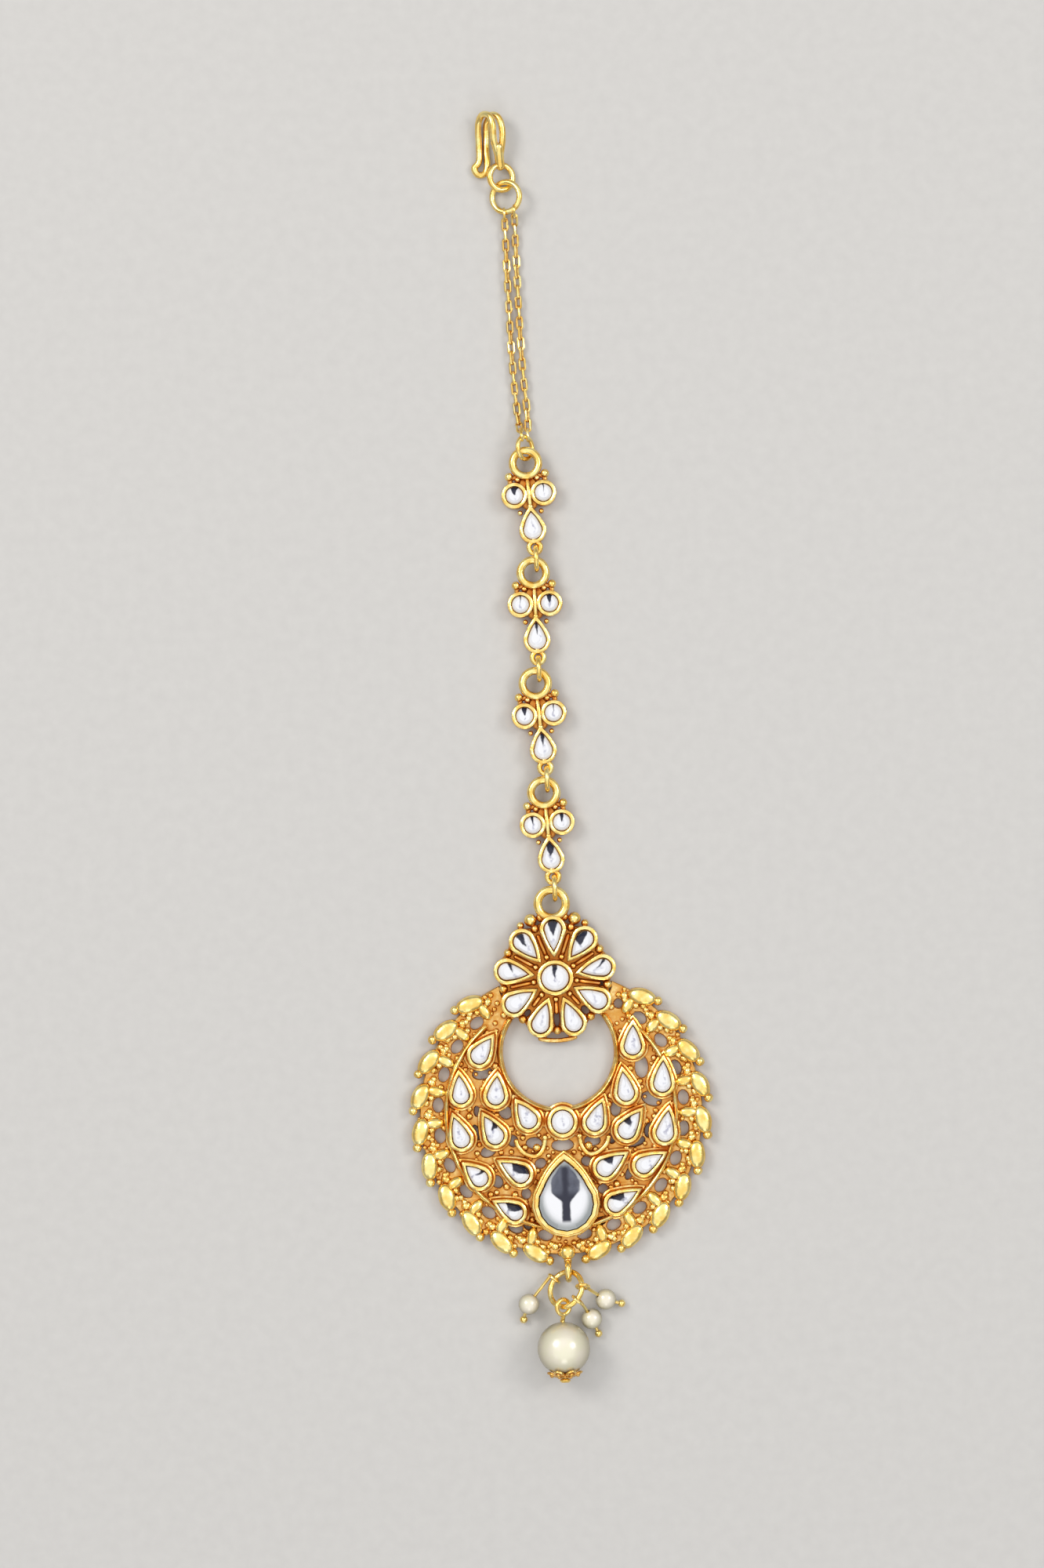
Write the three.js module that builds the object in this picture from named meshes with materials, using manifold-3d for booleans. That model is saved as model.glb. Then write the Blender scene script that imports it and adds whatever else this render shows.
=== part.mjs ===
// Maang tikka: a hair hook, two short strands of fine chain, four three-stone links and a
// pendant (a flower soldered over an openwork crescent) with a bunch of pearls below it.
// Millimetres, +Z up. The jewel lies on its back with the hook towards +Y. It is laid out
// from the middle of the flower, and the finished group is moved so that the middle of its
// footprint is the origin, with everything standing on z = 0.

import * as THREE from 'three';
import { mergeVertices } from 'three/addons/utils/BufferGeometryUtils.js';
import Module from 'manifold-3d';

// ---- Driving dimensions ------------------------------------------------------------------

// Hair hook: one doubled wire, bent over and soldered to an eye
const HOOK_WIRE = 0.42;                      // radius of the doubled wire
const HOOK_EYE = { x: -2.18, y: 102.0, z: 1.15, radius: 1.6, wire: 0.38, lean: 25 };
const HOOK_NECK = { x: -2.3, y0: 103.3, y1: 106.0, z0: 1.2, z1: 2.3, radius: 0.62 };

// Jump rings: mean radius and wire radius
const CHAIN_RING = { x: -1.75, y: 99.5, z: 1.22, radius: 1.9, wire: 0.37, lean: -25 };
const CHAIN_END_RING = { x: -0.76, y: 67.45, z: 1.7, radius: 1.42, wire: 0.3, lean: 50 };
const LINK_JUMP_RING = { radius: 1.47, wire: 0.31 };
const DROP_JUMP_RING = { radius: 2.3, wire: 0.35, lean: -33 };

// Two strands of fine cable chain, each as wide as its links
const CHAIN = { strandGap: 1.26, radius: 0.6, z: 0.66 };
const CHAIN_ROUTE = [[-1.42, 96.85], [-1.4, 89], [-1.34, 81.7], [-0.95, 72.7], [-0.8, 69.5]];

// Links: a ring, two round stones side by side, one drop stone and a pierced tab
const LINK_PLACES = [
  { x: -0.83, y: 65.5, turn: 4 },
  { x: -0.5, y: 51.55, turn: 1 },
  { x: -0.84, y: 37.45, turn: 4.5 },
  { x: -0.4, y: 23.55, turn: 4 },
];
const LINK_RING = { radius: 1.66, wire: 0.52 };
const LINK_METAL_LEVEL = 1.7;                // height of the ring, the tab and the bail
const LINK_SHOULDER = { x: 2.3, y: -1.5, radius: 0.52 };
const LINK_ROUND = { x: 1.85, y: -3.95, stone: 1.1, collet: 1.52 };
const LINK_DROP = { y: -8.0, length: 3.4, width: 2.4 };
const LINK_TAB = { y: -10.75, hole: 0.55, end: -11.6, halfWidth: 0.95, thickness: 0.7 };
const LINK_COLLET_HEIGHT = 2.2;
const LINK_BODY = { y: -4.2, width: 1.5, height: 4.6, step: 0.5 };
const LINK_ARM = { x: 1.9, y: -3.2, z: 1.5, radius: 0.35 };
const LINK_STONE = { foot: 1.2, crown: 0.3, bevel: 0.4, dropBevel: 0.5 };

// Collets and stones
const COLLET_WALL = 0.45;
const STONE_GAP = 0.1;                       // between a stone and the collet around it
const PLATE = 0.9;                           // thickness of the pendant's back plates
const CRESCENT_COLLET_TOP = 2.3;
const FLOWER_COLLET_TOP = 2.8;
const CENTRE_COLLET_TOP = 3.1;
const STONE_CROWN = 0.45;                    // bevelled part above and below the girdle
const STONE_BEVEL_WIDTH = 0.55;
const STONE_STANDS = 0.3;                    // how far a stone stands above its collet
const CENTRE_STONE_STANDS = 0.5;             // and how much more the large one does

// Flower
const FLOWER = { radius: 8.15, scallop: 0.45, petals: 9 };
const PETAL_STONE = { orbit: 5.4, length: 3.7, width: 2.4 };
const FLOWER_STONE = { x: 0, y: 0, length: 3.4, width: 3.4 };
const BAIL = { y: 9.4, radius: 1.8, wire: 0.6 };
const FLOWER_SHOULDER = { x: 2.8, y: 7.4, z: 1.3, radius: 0.8 };
const FLOWER_SLOT = { y: -6.0, width: 0.7, length: 2.4 };

// Crescent: one centre for its edge and its leaves, another for the window
const CRESCENT = { y: -17.3, radius: 17.5 };
const WINDOW = { y: -9.5, radius: 7.1, rimWidth: 0.8, rimTop: 1.7 };
const LEAVES = {
  perSide: 10,
  firstAngle: 7,
  step: 14.4,
  tipOrbit: 19.0,
  rootOrbit: 17.1,
  rootLead: 13,
  width: 2.3,
  top: 2.1,
  tipBall: 0.5,
};
const RIM_HOLES = {
  orbit: 15.65,
  firstAngles: { left: 9.8, right: 8.3 },
  step: 14.4,
  perSide: 10,
  across: 1.2,
  along: 1.7,
};
const LEAF_BEVEL = { height: 0.7, width: 0.5 };
const LEAF_BALL_LEVEL = 0.9;
const FOOT = { y: -35.0, radius: 1.0, z: 1.1 };
const FOOT_STEM_RADIUS = 0.5;
const FOOT_LOOP = { y: -37.35, z: 1.55, radius: 1.15, halfThickness: 0.36, halfWidth: 0.5 };

// Stones of the crescent: place, turn of the point clockwise from +Y, length and width
const CRESCENT_STONES = [
  { name: 'window_stone_1', x: -9.63, y: -8.87, turn: 37, length: 3.5, width: 2.4 },
  { name: 'window_stone_2', x: -8.14, y: -14.05, turn: 7, length: 3.4, width: 2.4 },
  { name: 'window_stone_3', x: -4.51, y: -17.35, turn: -30, length: 3.4, width: 2.4 },
  { name: 'window_stone_5', x: 4.49, y: -17.92, turn: 22, length: 3.6, width: 2.4 },
  { name: 'window_stone_6', x: 8.26, y: -14.24, turn: -7, length: 3.6, width: 2.3 },
  { name: 'window_stone_7', x: 9.51, y: -8.4, turn: 3, length: 3.6, width: 2.4 },
  { name: 'middle_stone_1', x: -12.67, y: -13.71, turn: -3, length: 3.4, width: 2.3 },
  { name: 'middle_stone_2', x: -13.08, y: -19.13, turn: -17, length: 3.8, width: 2.3 },
  { name: 'middle_stone_3', x: -8.87, y: -19.02, turn: -27, length: 3.7, width: 2.4 },
  { name: 'middle_stone_4', x: 8.74, y: -19.12, turn: 38, length: 3.8, width: 2.5 },
  { name: 'middle_stone_5', x: 13.23, y: -19.52, turn: 12, length: 3.8, width: 2.4 },
  { name: 'middle_stone_6', x: 13.09, y: -13.2, turn: 5, length: 3.8, width: 2.4 },
  { name: 'lower_stone_1', x: -11.15, y: -24.62, turn: -45, length: 3.2, width: 2.3 },
  { name: 'lower_stone_2', x: -6.2, y: -24.31, turn: -57, length: 3.8, width: 2.4 },
  { name: 'lower_stone_3', x: 6.0, y: -23.99, turn: 58, length: 3.8, width: 2.4 },
  { name: 'lower_stone_4', x: 10.92, y: -23.97, turn: 62, length: 3.6, width: 2.2 },
  { name: 'foot_stone_1', x: -7.07, y: -29.21, turn: -60, length: 3.4, width: 2.2 },
  { name: 'foot_stone_2', x: 7.3, y: -28.6, turn: 62, length: 4.0, width: 2.2 },
];
const OVAL_STONE = { name: 'window_stone_4', x: 0.12, y: -18.35, length: 3.0, width: 2.7 };
const CENTRE_STONE = { name: 'centre_stone', x: 0.1, y: -27.7, turn: 0, length: 8.9, width: 6.9 };

// Holes of the openwork between the stones, each turned anticlockwise from +Y
const FIELD_HOLES = [
  { x: 7.9, y: -3.7, width: 1.0, height: 1.0, turn: 0 },
  { x: -9.8, y: -11.8, width: 2.4, height: 1.4, turn: 10 },
  { x: 10.5, y: -11.9, width: 1.6, height: 2.6, turn: 0 },
  { x: -10.7, y: -16.6, width: 0.7, height: 1.2, turn: 0 },
  { x: -7.1, y: -16.9, width: 1.4, height: 1.7, turn: 30 },
  { x: 7.0, y: -17.0, width: 1.2, height: 1.9, turn: -10 },
  { x: 11.6, y: -16.0, width: 2.4, height: 1.6, turn: -25 },
  { x: -10.9, y: -19.3, width: 0.7, height: 1.8, turn: 15 },
  { x: 11.1, y: -20.0, width: 1.0, height: 1.7, turn: -10 },
  { x: -9.5, y: -21.8, width: 1.9, height: 1.2, turn: 20 },
  { x: 9.2, y: -21.3, width: 2.4, height: 1.2, turn: 10 },
  { x: -6.3, y: -20.6, width: 1.1, height: 1.4, turn: 0 },
  { x: 6.3, y: -20.8, width: 0.8, height: 1.2, turn: 0 },
  { x: -3.6, y: -21.0, width: 1.9, height: 1.2, turn: 0 },
  { x: 3.8, y: -21.0, width: 1.9, height: 1.2, turn: 0 },
  { x: 0.0, y: -21.4, width: 2.6, height: 1.3, turn: 0 },
  { x: -2.9, y: -23.6, width: 1.3, height: 1.1, turn: 30 },
  { x: 3.0, y: -23.6, width: 1.3, height: 1.1, turn: -30 },
  { x: -8.5, y: -25.7, width: 1.2, height: 1.5, turn: 20 },
  { x: 8.4, y: -25.3, width: 0.8, height: 1.8, turn: -30 },
  { x: -4.9, y: -27.4, width: 1.1, height: 1.2, turn: 0 },
  { x: 4.9, y: -27.2, width: 1.1, height: 1.1, turn: 0 },
  { x: -4.6, y: -31.6, width: 1.5, height: 0.8, turn: -25 },
  { x: 4.4, y: -31.3, width: 1.3, height: 0.8, turn: 25 },
];
const FIELD_SCROLL = { wire: 0.32, z: 1.1 };
const FIELD_SCROLL_LINE = [[2.5, -21.9], [3.3, -22.6], [4.6, -22.2], [5.4, -21.6]];

// Pearls on the drop ring
const PEARL = { x: -1.03, y: -46.95, radius: 3.35 };
const PEARL_EYE = { x: -0.86, radius: 0.95, wire: 0.28, turn: -58 };
const PEARL_PIN_RADIUS = 0.3;
const PEARL_PIN_HEAD = { radius: 0.7, thickness: 0.56, gap: 0.06 };
const RING_CLEARANCE = { linkFloor: 0.02, drop: 0.12, pearlEye: 0.02, smallEye: 0.14 };
const PEARL_CAP = { clearance: 0.08, thickness: 0.28, halfAngle: 40 };
const SMALL_PEARL_RADIUS = 1.33;
const SMALL_PIN = { radius: 0.2, eye: 0.78, head: 0.5, headHeight: 0.62 };
const SMALL_DROPS = [
  { ringAngle: 143, pearl: [-5.2, -41.4], head: [-5.95, -43.4] },
  { ringAngle: -38, pearl: [2.7, -43.6], head: [3.5, -45.6] },
  { ringAngle: 8, pearl: [4.6, -41.2], head: [6.6, -41.9] },
];

// ---- Solids ------------------------------------------------------------------------------

const wasm = await Module();
wasm.setup();

const radians = THREE.MathUtils.degToRad;

// A closed three.js geometry as a solid that can be joined and cut
function solid(geometry) {
  const bare = geometry.clone();
  bare.deleteAttribute('normal');
  bare.deleteAttribute('uv');
  const merged = mergeVertices(bare, 1e-4);
  return new wasm.Manifold(new wasm.Mesh({
    numProp: 3,
    vertProperties: new Float32Array(merged.attributes.position.array),
    triVerts: new Uint32Array(merged.index.array),
  }));
}

function join(geometries) {
  return geometries.map(solid).reduce((whole, next) => whole.add(next));
}

function geometryOf(body) {
  const { vertProperties, triVerts } = body.getMesh();
  const geometry = new THREE.BufferGeometry();
  geometry.setAttribute('position', new THREE.BufferAttribute(vertProperties, 3));
  geometry.setIndex(new THREE.BufferAttribute(triVerts, 1));
  geometry.computeVertexNormals();
  return geometry;
}

const FINISHES = {
  gold: { color: 0xd8a33a, metalness: 1, roughness: 0.3 },
  stone: { color: 0xe4e6ea, metalness: 0.4, roughness: 0.1 },
  pearl: { color: 0xeeeadd, metalness: 0, roughness: 0.3 },
};

function piece(name, geometry, finish) {
  const mesh = new THREE.Mesh(geometry, new THREE.MeshStandardMaterial(FINISHES[finish]));
  mesh.name = name;
  return mesh;
}

// ---- Outlines and small shapes -----------------------------------------------------------

function circleOutline(radius, sides) {
  return ovalOutline(2 * radius, 2 * radius, sides);
}

function ovalOutline(width, height, sides) {
  const points = [];
  for (let i = 0; i < sides; i += 1) {
    const angle = 2 * Math.PI * i / sides;
    points.push(new THREE.Vector2(width / 2 * Math.cos(angle), height / 2 * Math.sin(angle)));
  }
  return points;
}

// A drop with its point towards +Y, centred on its length, made larger all round by grow
function dropOutline(length, width, grow = 0) {
  const radius = width / 2 + grow;
  const reach = length - width / 2 + 1.5 * grow;
  const middle = width / 2 - length / 2;
  const side = Math.acos(radius / reach);
  const steps = width > 5 ? 9 : 4;
  const points = [new THREE.Vector2(0, middle + reach)];
  for (let i = 0; i <= steps; i += 1) {
    const angle = side + (2 * Math.PI - 2 * side) * i / steps;
    points.push(new THREE.Vector2(-radius * Math.sin(angle), middle + radius * Math.cos(angle)));
  }
  return points;
}

function moved(points, x, y, turn = 0) {
  const centre = new THREE.Vector2();
  const shift = new THREE.Vector2(x, y);
  return points.map((point) => point.clone().rotateAround(centre, radians(turn)).add(shift));
}

// A flat plate or wall between two heights, with any holes
function slab(outline, bottom, top, holes = []) {
  const shape = new THREE.Shape(outline);
  shape.holes = holes.map((points) => new THREE.Path(points));
  const geometry = new THREE.ExtrudeGeometry(shape, { depth: top - bottom, bevelEnabled: false });
  return geometry.translate(0, 0, bottom);
}

// A flat-topped body with sloping upper and lower edges, for cut stones and leaves
function bevelled(outline, bottom, top, bevelHeight, bevelWidth) {
  const geometry = new THREE.ExtrudeGeometry(new THREE.Shape(outline), {
    depth: top - bottom - 2 * bevelHeight,
    bevelThickness: bevelHeight,
    bevelSize: bevelWidth,
    bevelOffset: -bevelWidth,
    bevelSegments: 1,
  });
  return geometry.translate(0, 0, bottom + bevelHeight);
}

function ball(radius, x, y, z, across = 6, high = 4) {
  return new THREE.SphereGeometry(radius, across, high).rotateX(Math.PI / 2).translate(x, y, z);
}

// A wire ring that lies flat, or leans about the line through its middle along Y
function wireRing({ radius, wire, x = 0, y = 0, z, lean = 0 }, around = 22, section = 6) {
  const geometry = new THREE.TorusGeometry(radius, wire, section, around);
  return geometry.rotateY(radians(lean)).translate(x, y, z);
}

// A round wire along a smooth line through points
function wireAlong(points, radius, steps, sides = 6) {
  const line = new THREE.CatmullRomCurve3(points.map((point) => new THREE.Vector3(...point)));
  const section = new THREE.Shape(circleOutline(radius, sides));
  return new THREE.ExtrudeGeometry(section, { steps, extrudePath: line, bevelEnabled: false });
}

// A straight round rod between two points
function rod(from, to, radius, sides = 6) {
  const start = new THREE.Vector3(...from);
  const along = new THREE.Vector3(...to).sub(start);
  const geometry = new THREE.CylinderGeometry(radius, radius, along.length(), sides);
  const turn = new THREE.Quaternion();
  turn.setFromUnitVectors(new THREE.Vector3(0, 1, 0), along.clone().normalize());
  geometry.applyQuaternion(turn);
  const middle = start.addScaledVector(along, 0.5);
  return geometry.translate(middle.x, middle.y, middle.z);
}

// A drop stone with its collet's inner and outer outlines, all turned to its place
function dropSetting({ x, y, turn, length, width }) {
  return {
    stone: moved(dropOutline(length, width), x, y, -turn),
    inner: moved(dropOutline(length, width, STONE_GAP), x, y, -turn),
    outer: moved(dropOutline(length, width, STONE_GAP + COLLET_WALL), x, y, -turn),
  };
}

function ovalSetting({ x, y, length, width }, sides = 10) {
  const grown = (grow) => moved(ovalOutline(width + 2 * grow, length + 2 * grow, sides), x, y);
  return { stone: grown(0), inner: grown(STONE_GAP), outer: grown(STONE_GAP + COLLET_WALL) };
}

// Collets start as solid studs on the back plate, and the stones' pockets are cut last
function stud(setting, top) {
  return slab(setting.outer, PLATE / 2, top);
}

function pocket(setting) {
  return slab(setting.inner, PLATE, 2 * CENTRE_COLLET_TOP);
}

// ---- Hair hook and jump rings ------------------------------------------------------------

// The wire starts in the neck, runs up one side of the shank, over the bend, down to the
// curled tip, and comes back beside itself to the neck
function hookGeometry() {
  const out = [
    [-2.45, 105.5, 1.95],
    [-2.95, 106.6, 2.75],
    [-3.0, 108.4, 3.15],
    [-3.35, 109.75, 2.95],
    [-4.25, 110.0, 2.1],
    [-4.8, 108.9, 1.15],
    [-4.85, 106.8, 0.75],
    [-4.85, 105.0, 0.62],
    [-5.0, 104.05, 0.55],
  ];
  const tip = [[-5.55, 103.35, 0.5]];
  const back = [
    [-5.1, 102.55, 0.5],
    [-4.2, 102.7, 0.5],
    [-3.9, 103.9, 0.5],
    [-3.95, 105.6, 0.46],
    [-3.85, 107.4, 0.46],
    [-3.75, 109.0, 0.75],
    [-3.15, 110.0, 1.6],
    [-2.3, 109.7, 2.25],
    [-1.85, 108.4, 2.35],
    [-1.8, 106.8, 2.2],
    [-2.1, 105.6, 1.9],
  ];
  const { x, y0, y1, z0, z1, radius } = HOOK_NECK;
  return geometryOf(join([
    wireAlong([...out, ...tip, ...back], HOOK_WIRE, 60),
    wireRing(HOOK_EYE),
    rod([x, y0, z0], [x, y1, z1], radius),
  ]));
}

// The strands run side by side on the line between the two jump rings
function strandGeometry(side) {
  const points = CHAIN_ROUTE.map(([x, y]) => [x + side * CHAIN.strandGap / 2, y, CHAIN.z]);
  return wireAlong(points, CHAIN.radius, 12, 8);
}

// A jump ring on edge between the hole of a link's tab and the ring below it
function linkJumpRing(place) {
  const reach = LINK_TAB.y - LINK_JUMP_RING.radius;
  const x = place.x - reach * Math.sin(radians(place.turn));
  const y = place.y + reach * Math.cos(radians(place.turn));
  const z = LINK_JUMP_RING.radius + LINK_JUMP_RING.wire + RING_CLEARANCE.linkFloor;
  return wireRing({ ...LINK_JUMP_RING, x, y, z, lean: 90 }, 18);
}

// ---- Links -------------------------------------------------------------------------------

// One link about the middle of its ring, with its three stones set in it
function linkGeometry() {
  const drop = { x: 0, y: LINK_DROP.y, turn: 0, length: LINK_DROP.length, width: LINK_DROP.width };
  const dropOutlines = dropSetting(drop);
  const dropStone = moved(dropOutline(drop.length, drop.width), 0, drop.y);
  const body = ovalOutline(LINK_BODY.width, LINK_BODY.height, 8);
  const { foot, bevel, dropBevel } = LINK_STONE;
  const stoneTop = LINK_COLLET_HEIGHT + LINK_STONE.crown;
  const bodies = [
    wireRing({ ...LINK_RING, z: LINK_METAL_LEVEL }, 18),
    slab(dropOutlines.outer, 0, LINK_COLLET_HEIGHT),
    bevelled(dropStone, foot, stoneTop, bevel, dropBevel),
    slab(moved(body, 0, LINK_BODY.y), 0, LINK_COLLET_HEIGHT - LINK_BODY.step),
  ];
  for (const side of [-1, 1]) {
    const round = moved(circleOutline(LINK_ROUND.collet, 10), side * LINK_ROUND.x, LINK_ROUND.y);
    const stone = moved(circleOutline(LINK_ROUND.stone, 8), side * LINK_ROUND.x, LINK_ROUND.y);
    bodies.push(slab(round, 0, LINK_COLLET_HEIGHT));
    bodies.push(bevelled(stone, foot, stoneTop, bevel, bevel));
    const shoulder = LINK_SHOULDER;
    const arm = LINK_ARM;
    bodies.push(ball(shoulder.radius, side * shoulder.x, shoulder.y, arm.z));
    bodies.push(rod([side * shoulder.x, shoulder.y, arm.z], [side * arm.x, arm.y, arm.z], arm.radius));
  }
  const tabTop = LINK_METAL_LEVEL + LINK_TAB.thickness / 2;
  const tabLength = LINK_TAB.y - LINK_TAB.end;
  const tab = ovalOutline(2 * LINK_TAB.halfWidth, 2 * tabLength, 10);
  bodies.push(slab(moved(tab, 0, LINK_TAB.y), tabTop - LINK_TAB.thickness, tabTop));
  const hole = moved(circleOutline(LINK_TAB.hole, 8), 0, LINK_TAB.y);
  return geometryOf(join(bodies).subtract(solid(slab(hole, 0, 2 * LINK_COLLET_HEIGHT))));
}

// ---- Pendant -----------------------------------------------------------------------------

function flowerOutline() {
  const perPetal = 4;
  const points = [];
  for (let i = 0; i < FLOWER.petals * perPetal; i += 1) {
    const angle = 2 * Math.PI * i / (FLOWER.petals * perPetal);
    const lobe = Math.abs(Math.cos(FLOWER.petals * angle / 2));
    const radius = FLOWER.radius - FLOWER.scallop * (1 - lobe);
    points.push(new THREE.Vector2(-radius * Math.sin(angle), radius * Math.cos(angle)));
  }
  return points;
}

// A point around the crescent's centre, at an angle from straight down towards side
function aroundCrescent(orbit, angle, side) {
  const x = side * orbit * Math.sin(radians(angle));
  return new THREE.Vector2(x, CRESCENT.y - orbit * Math.cos(radians(angle)));
}

// Places of the petal stones, with their points turned to the middle of the flower
const PETALS = Array.from({ length: FLOWER.petals }, (_, index) => {
  const angle = radians(360 * index / FLOWER.petals);
  return {
    name: `petal_stone_${index + 1}`,
    x: PETAL_STONE.orbit * Math.sin(angle),
    y: PETAL_STONE.orbit * Math.cos(angle),
    turn: 360 * index / FLOWER.petals + 180,
    length: PETAL_STONE.length,
    width: PETAL_STONE.width,
  };
});

function crescentPlate() {
  const holes = [moved(circleOutline(WINDOW.radius, 28), 0, WINDOW.y)];
  for (const { x, y, width, height, turn } of FIELD_HOLES) {
    holes.push(moved(ovalOutline(width, height, 6), x, y, turn));
  }
  for (const side of [-1, 1]) {
    for (let i = 0; i < RIM_HOLES.perSide; i += 1) {
      const first = side < 0 ? RIM_HOLES.firstAngles.left : RIM_HOLES.firstAngles.right;
      const angle = first + RIM_HOLES.step * i;
      const { x, y } = aroundCrescent(RIM_HOLES.orbit, angle, side);
      const hole = ovalOutline(RIM_HOLES.along, RIM_HOLES.across, 6);
      holes.push(moved(hole, x, y, side * angle));
    }
  }
  return slab(moved(circleOutline(CRESCENT.radius, 40), 0, CRESCENT.y), 0, PLATE, holes);
}

// Slanting leaves with a ball at the tip of each
function leafRow(side) {
  const bodies = [];
  for (let i = 0; i < LEAVES.perSide; i += 1) {
    const angle = LEAVES.firstAngle + LEAVES.step * i;
    const tip = aroundCrescent(LEAVES.tipOrbit, angle, side);
    const root = aroundCrescent(LEAVES.rootOrbit, angle + LEAVES.rootLead, side);
    const middle = tip.clone().add(root).multiplyScalar(0.5);
    const along = tip.clone().sub(root);
    const turn = THREE.MathUtils.radToDeg(Math.atan2(along.y, along.x)) + 90;
    const leaf = moved(dropOutline(along.length(), LEAVES.width), middle.x, middle.y, turn);
    bodies.push(bevelled(leaf, 0, LEAVES.top, LEAF_BEVEL.height, LEAF_BEVEL.width));
    bodies.push(ball(LEAVES.tipBall, tip.x, tip.y, LEAF_BALL_LEVEL));
  }
  return bodies;
}

function footLoop() {
  const { halfThickness, halfWidth, radius, y, z } = FOOT_LOOP;
  const profile = ovalOutline(2 * halfThickness, 2 * halfWidth, 6);
  profile.forEach((point) => point.setX(point.x + radius));
  profile.push(profile[0].clone());
  return new THREE.LatheGeometry(profile, 16).rotateZ(Math.PI / 2).translate(0, y, z);
}

function pendantGeometry() {
  const windowRim = [WINDOW.radius + WINDOW.rimWidth, WINDOW.radius].map((radius) => (
    moved(circleOutline(radius, 28), 0, WINDOW.y)
  ));
  const slot = moved(ovalOutline(FLOWER_SLOT.width, FLOWER_SLOT.length, 8), 0, FLOWER_SLOT.y);
  const bodies = [
    crescentPlate(),
    slab(windowRim[0], PLATE / 2, WINDOW.rimTop, [windowRim[1]]),
    ...leafRow(-1),
    ...leafRow(1),
    ball(FOOT.radius, 0, FOOT.y, FOOT.z, 8, 6),
    rod([0, FOOT.y, FOOT.z], [0, FOOT_LOOP.y + FOOT_LOOP.radius, FOOT_LOOP.z], FOOT_STEM_RADIUS),
    footLoop(),
  ];
  const crescentSettings = [...CRESCENT_STONES.map(dropSetting), ovalSetting(OVAL_STONE)];
  const centreSetting = dropSetting(CENTRE_STONE);
  const flowerSettings = [...PETALS.map(dropSetting), ovalSetting(FLOWER_STONE)];
  bodies.push(...crescentSettings.map((setting) => stud(setting, CRESCENT_COLLET_TOP)));
  bodies.push(stud(centreSetting, CENTRE_COLLET_TOP));
  for (const side of [-1, 1]) {
    const { wire, z } = FIELD_SCROLL;
    bodies.push(wireAlong(FIELD_SCROLL_LINE.map(([x, y]) => [side * x, y, z]), wire, 5));
    const shoulder = FLOWER_SHOULDER;
    bodies.push(ball(shoulder.radius, side * shoulder.x, shoulder.y, shoulder.z));
  }
  const flower = [
    slab(flowerOutline(), 0, PLATE, [slot]),
    wireRing({ ...BAIL, z: LINK_METAL_LEVEL }),
    ...flowerSettings.map((setting) => stud(setting, FLOWER_COLLET_TOP)),
  ];
  const pockets = join([...crescentSettings, centreSetting, ...flowerSettings].map(pocket));
  const metal = join(bodies).add(join(flower));
  return geometryOf(metal.subtract(pockets));
}

// ---- Stones of the pendant ---------------------------------------------------------------

function stoneGeometry(outline, colletTop) {
  const top = colletTop + STONE_STANDS;
  return bevelled(outline, PLATE + STONE_GAP, top, STONE_CROWN, STONE_BEVEL_WIDTH);
}

function pendantStones() {
  const setStone = (name, setting, colletTop) => (
    piece(name, stoneGeometry(setting.stone, colletTop), 'stone')
  );
  return [
    setStone('flower_stone', ovalSetting(FLOWER_STONE), FLOWER_COLLET_TOP),
    ...PETALS.map((petal) => setStone(petal.name, dropSetting(petal), FLOWER_COLLET_TOP)),
    setStone(OVAL_STONE.name, ovalSetting(OVAL_STONE), CRESCENT_COLLET_TOP),
    ...CRESCENT_STONES.map((stone) => setStone(stone.name, dropSetting(stone), CRESCENT_COLLET_TOP)),
    setStone(CENTRE_STONE.name, dropSetting(CENTRE_STONE), CENTRE_COLLET_TOP + CENTRE_STONE_STANDS),
  ];
}

// ---- Pearls ------------------------------------------------------------------------------

// The drop ring hangs in the foot loop and carries the large pearl's eye at its other end
const DROP_RING = (() => {
  const top = new THREE.Vector3(0, FOOT_LOOP.y - RING_CLEARANCE.drop, FOOT_LOOP.z);
  const low = new THREE.Vector3(PEARL_EYE.x, top.y - 2 * DROP_JUMP_RING.radius, PEARL.radius);
  const along = low.clone().sub(top).normalize();
  const level = new THREE.Vector3(0, 0, 1).cross(along).normalize();
  const across = level.applyAxisAngle(along, radians(-DROP_JUMP_RING.lean));
  const centre = top.clone().addScaledVector(along, DROP_JUMP_RING.radius);
  return { centre, along, across };
})();

// Place of the drop ring's wire, at an angle from its side towards its top
function onDropRing(angle) {
  const { centre, along, across } = DROP_RING;
  const out = across.clone().multiplyScalar(Math.cos(radians(angle)));
  out.addScaledVector(along, -Math.sin(radians(angle)));
  return { out, point: centre.clone().addScaledVector(out, DROP_JUMP_RING.radius) };
}

// A torus whose plane holds two directions
function ringInPlane(centre, radius, wire, first, second, around, section) {
  const geometry = new THREE.TorusGeometry(radius, wire, section, around);
  const normal = first.clone().cross(second).normalize();
  const side = normal.clone().cross(first).normalize();
  const place = new THREE.Matrix4().makeBasis(first.clone().normalize(), side, normal);
  return geometry.applyMatrix4(place.setPosition(centre));
}

function dropRingGeometry() {
  const { centre, along, across } = DROP_RING;
  const { radius, wire } = DROP_JUMP_RING;
  return ringInPlane(centre, radius, wire, along, across, 24, 6);
}

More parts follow.
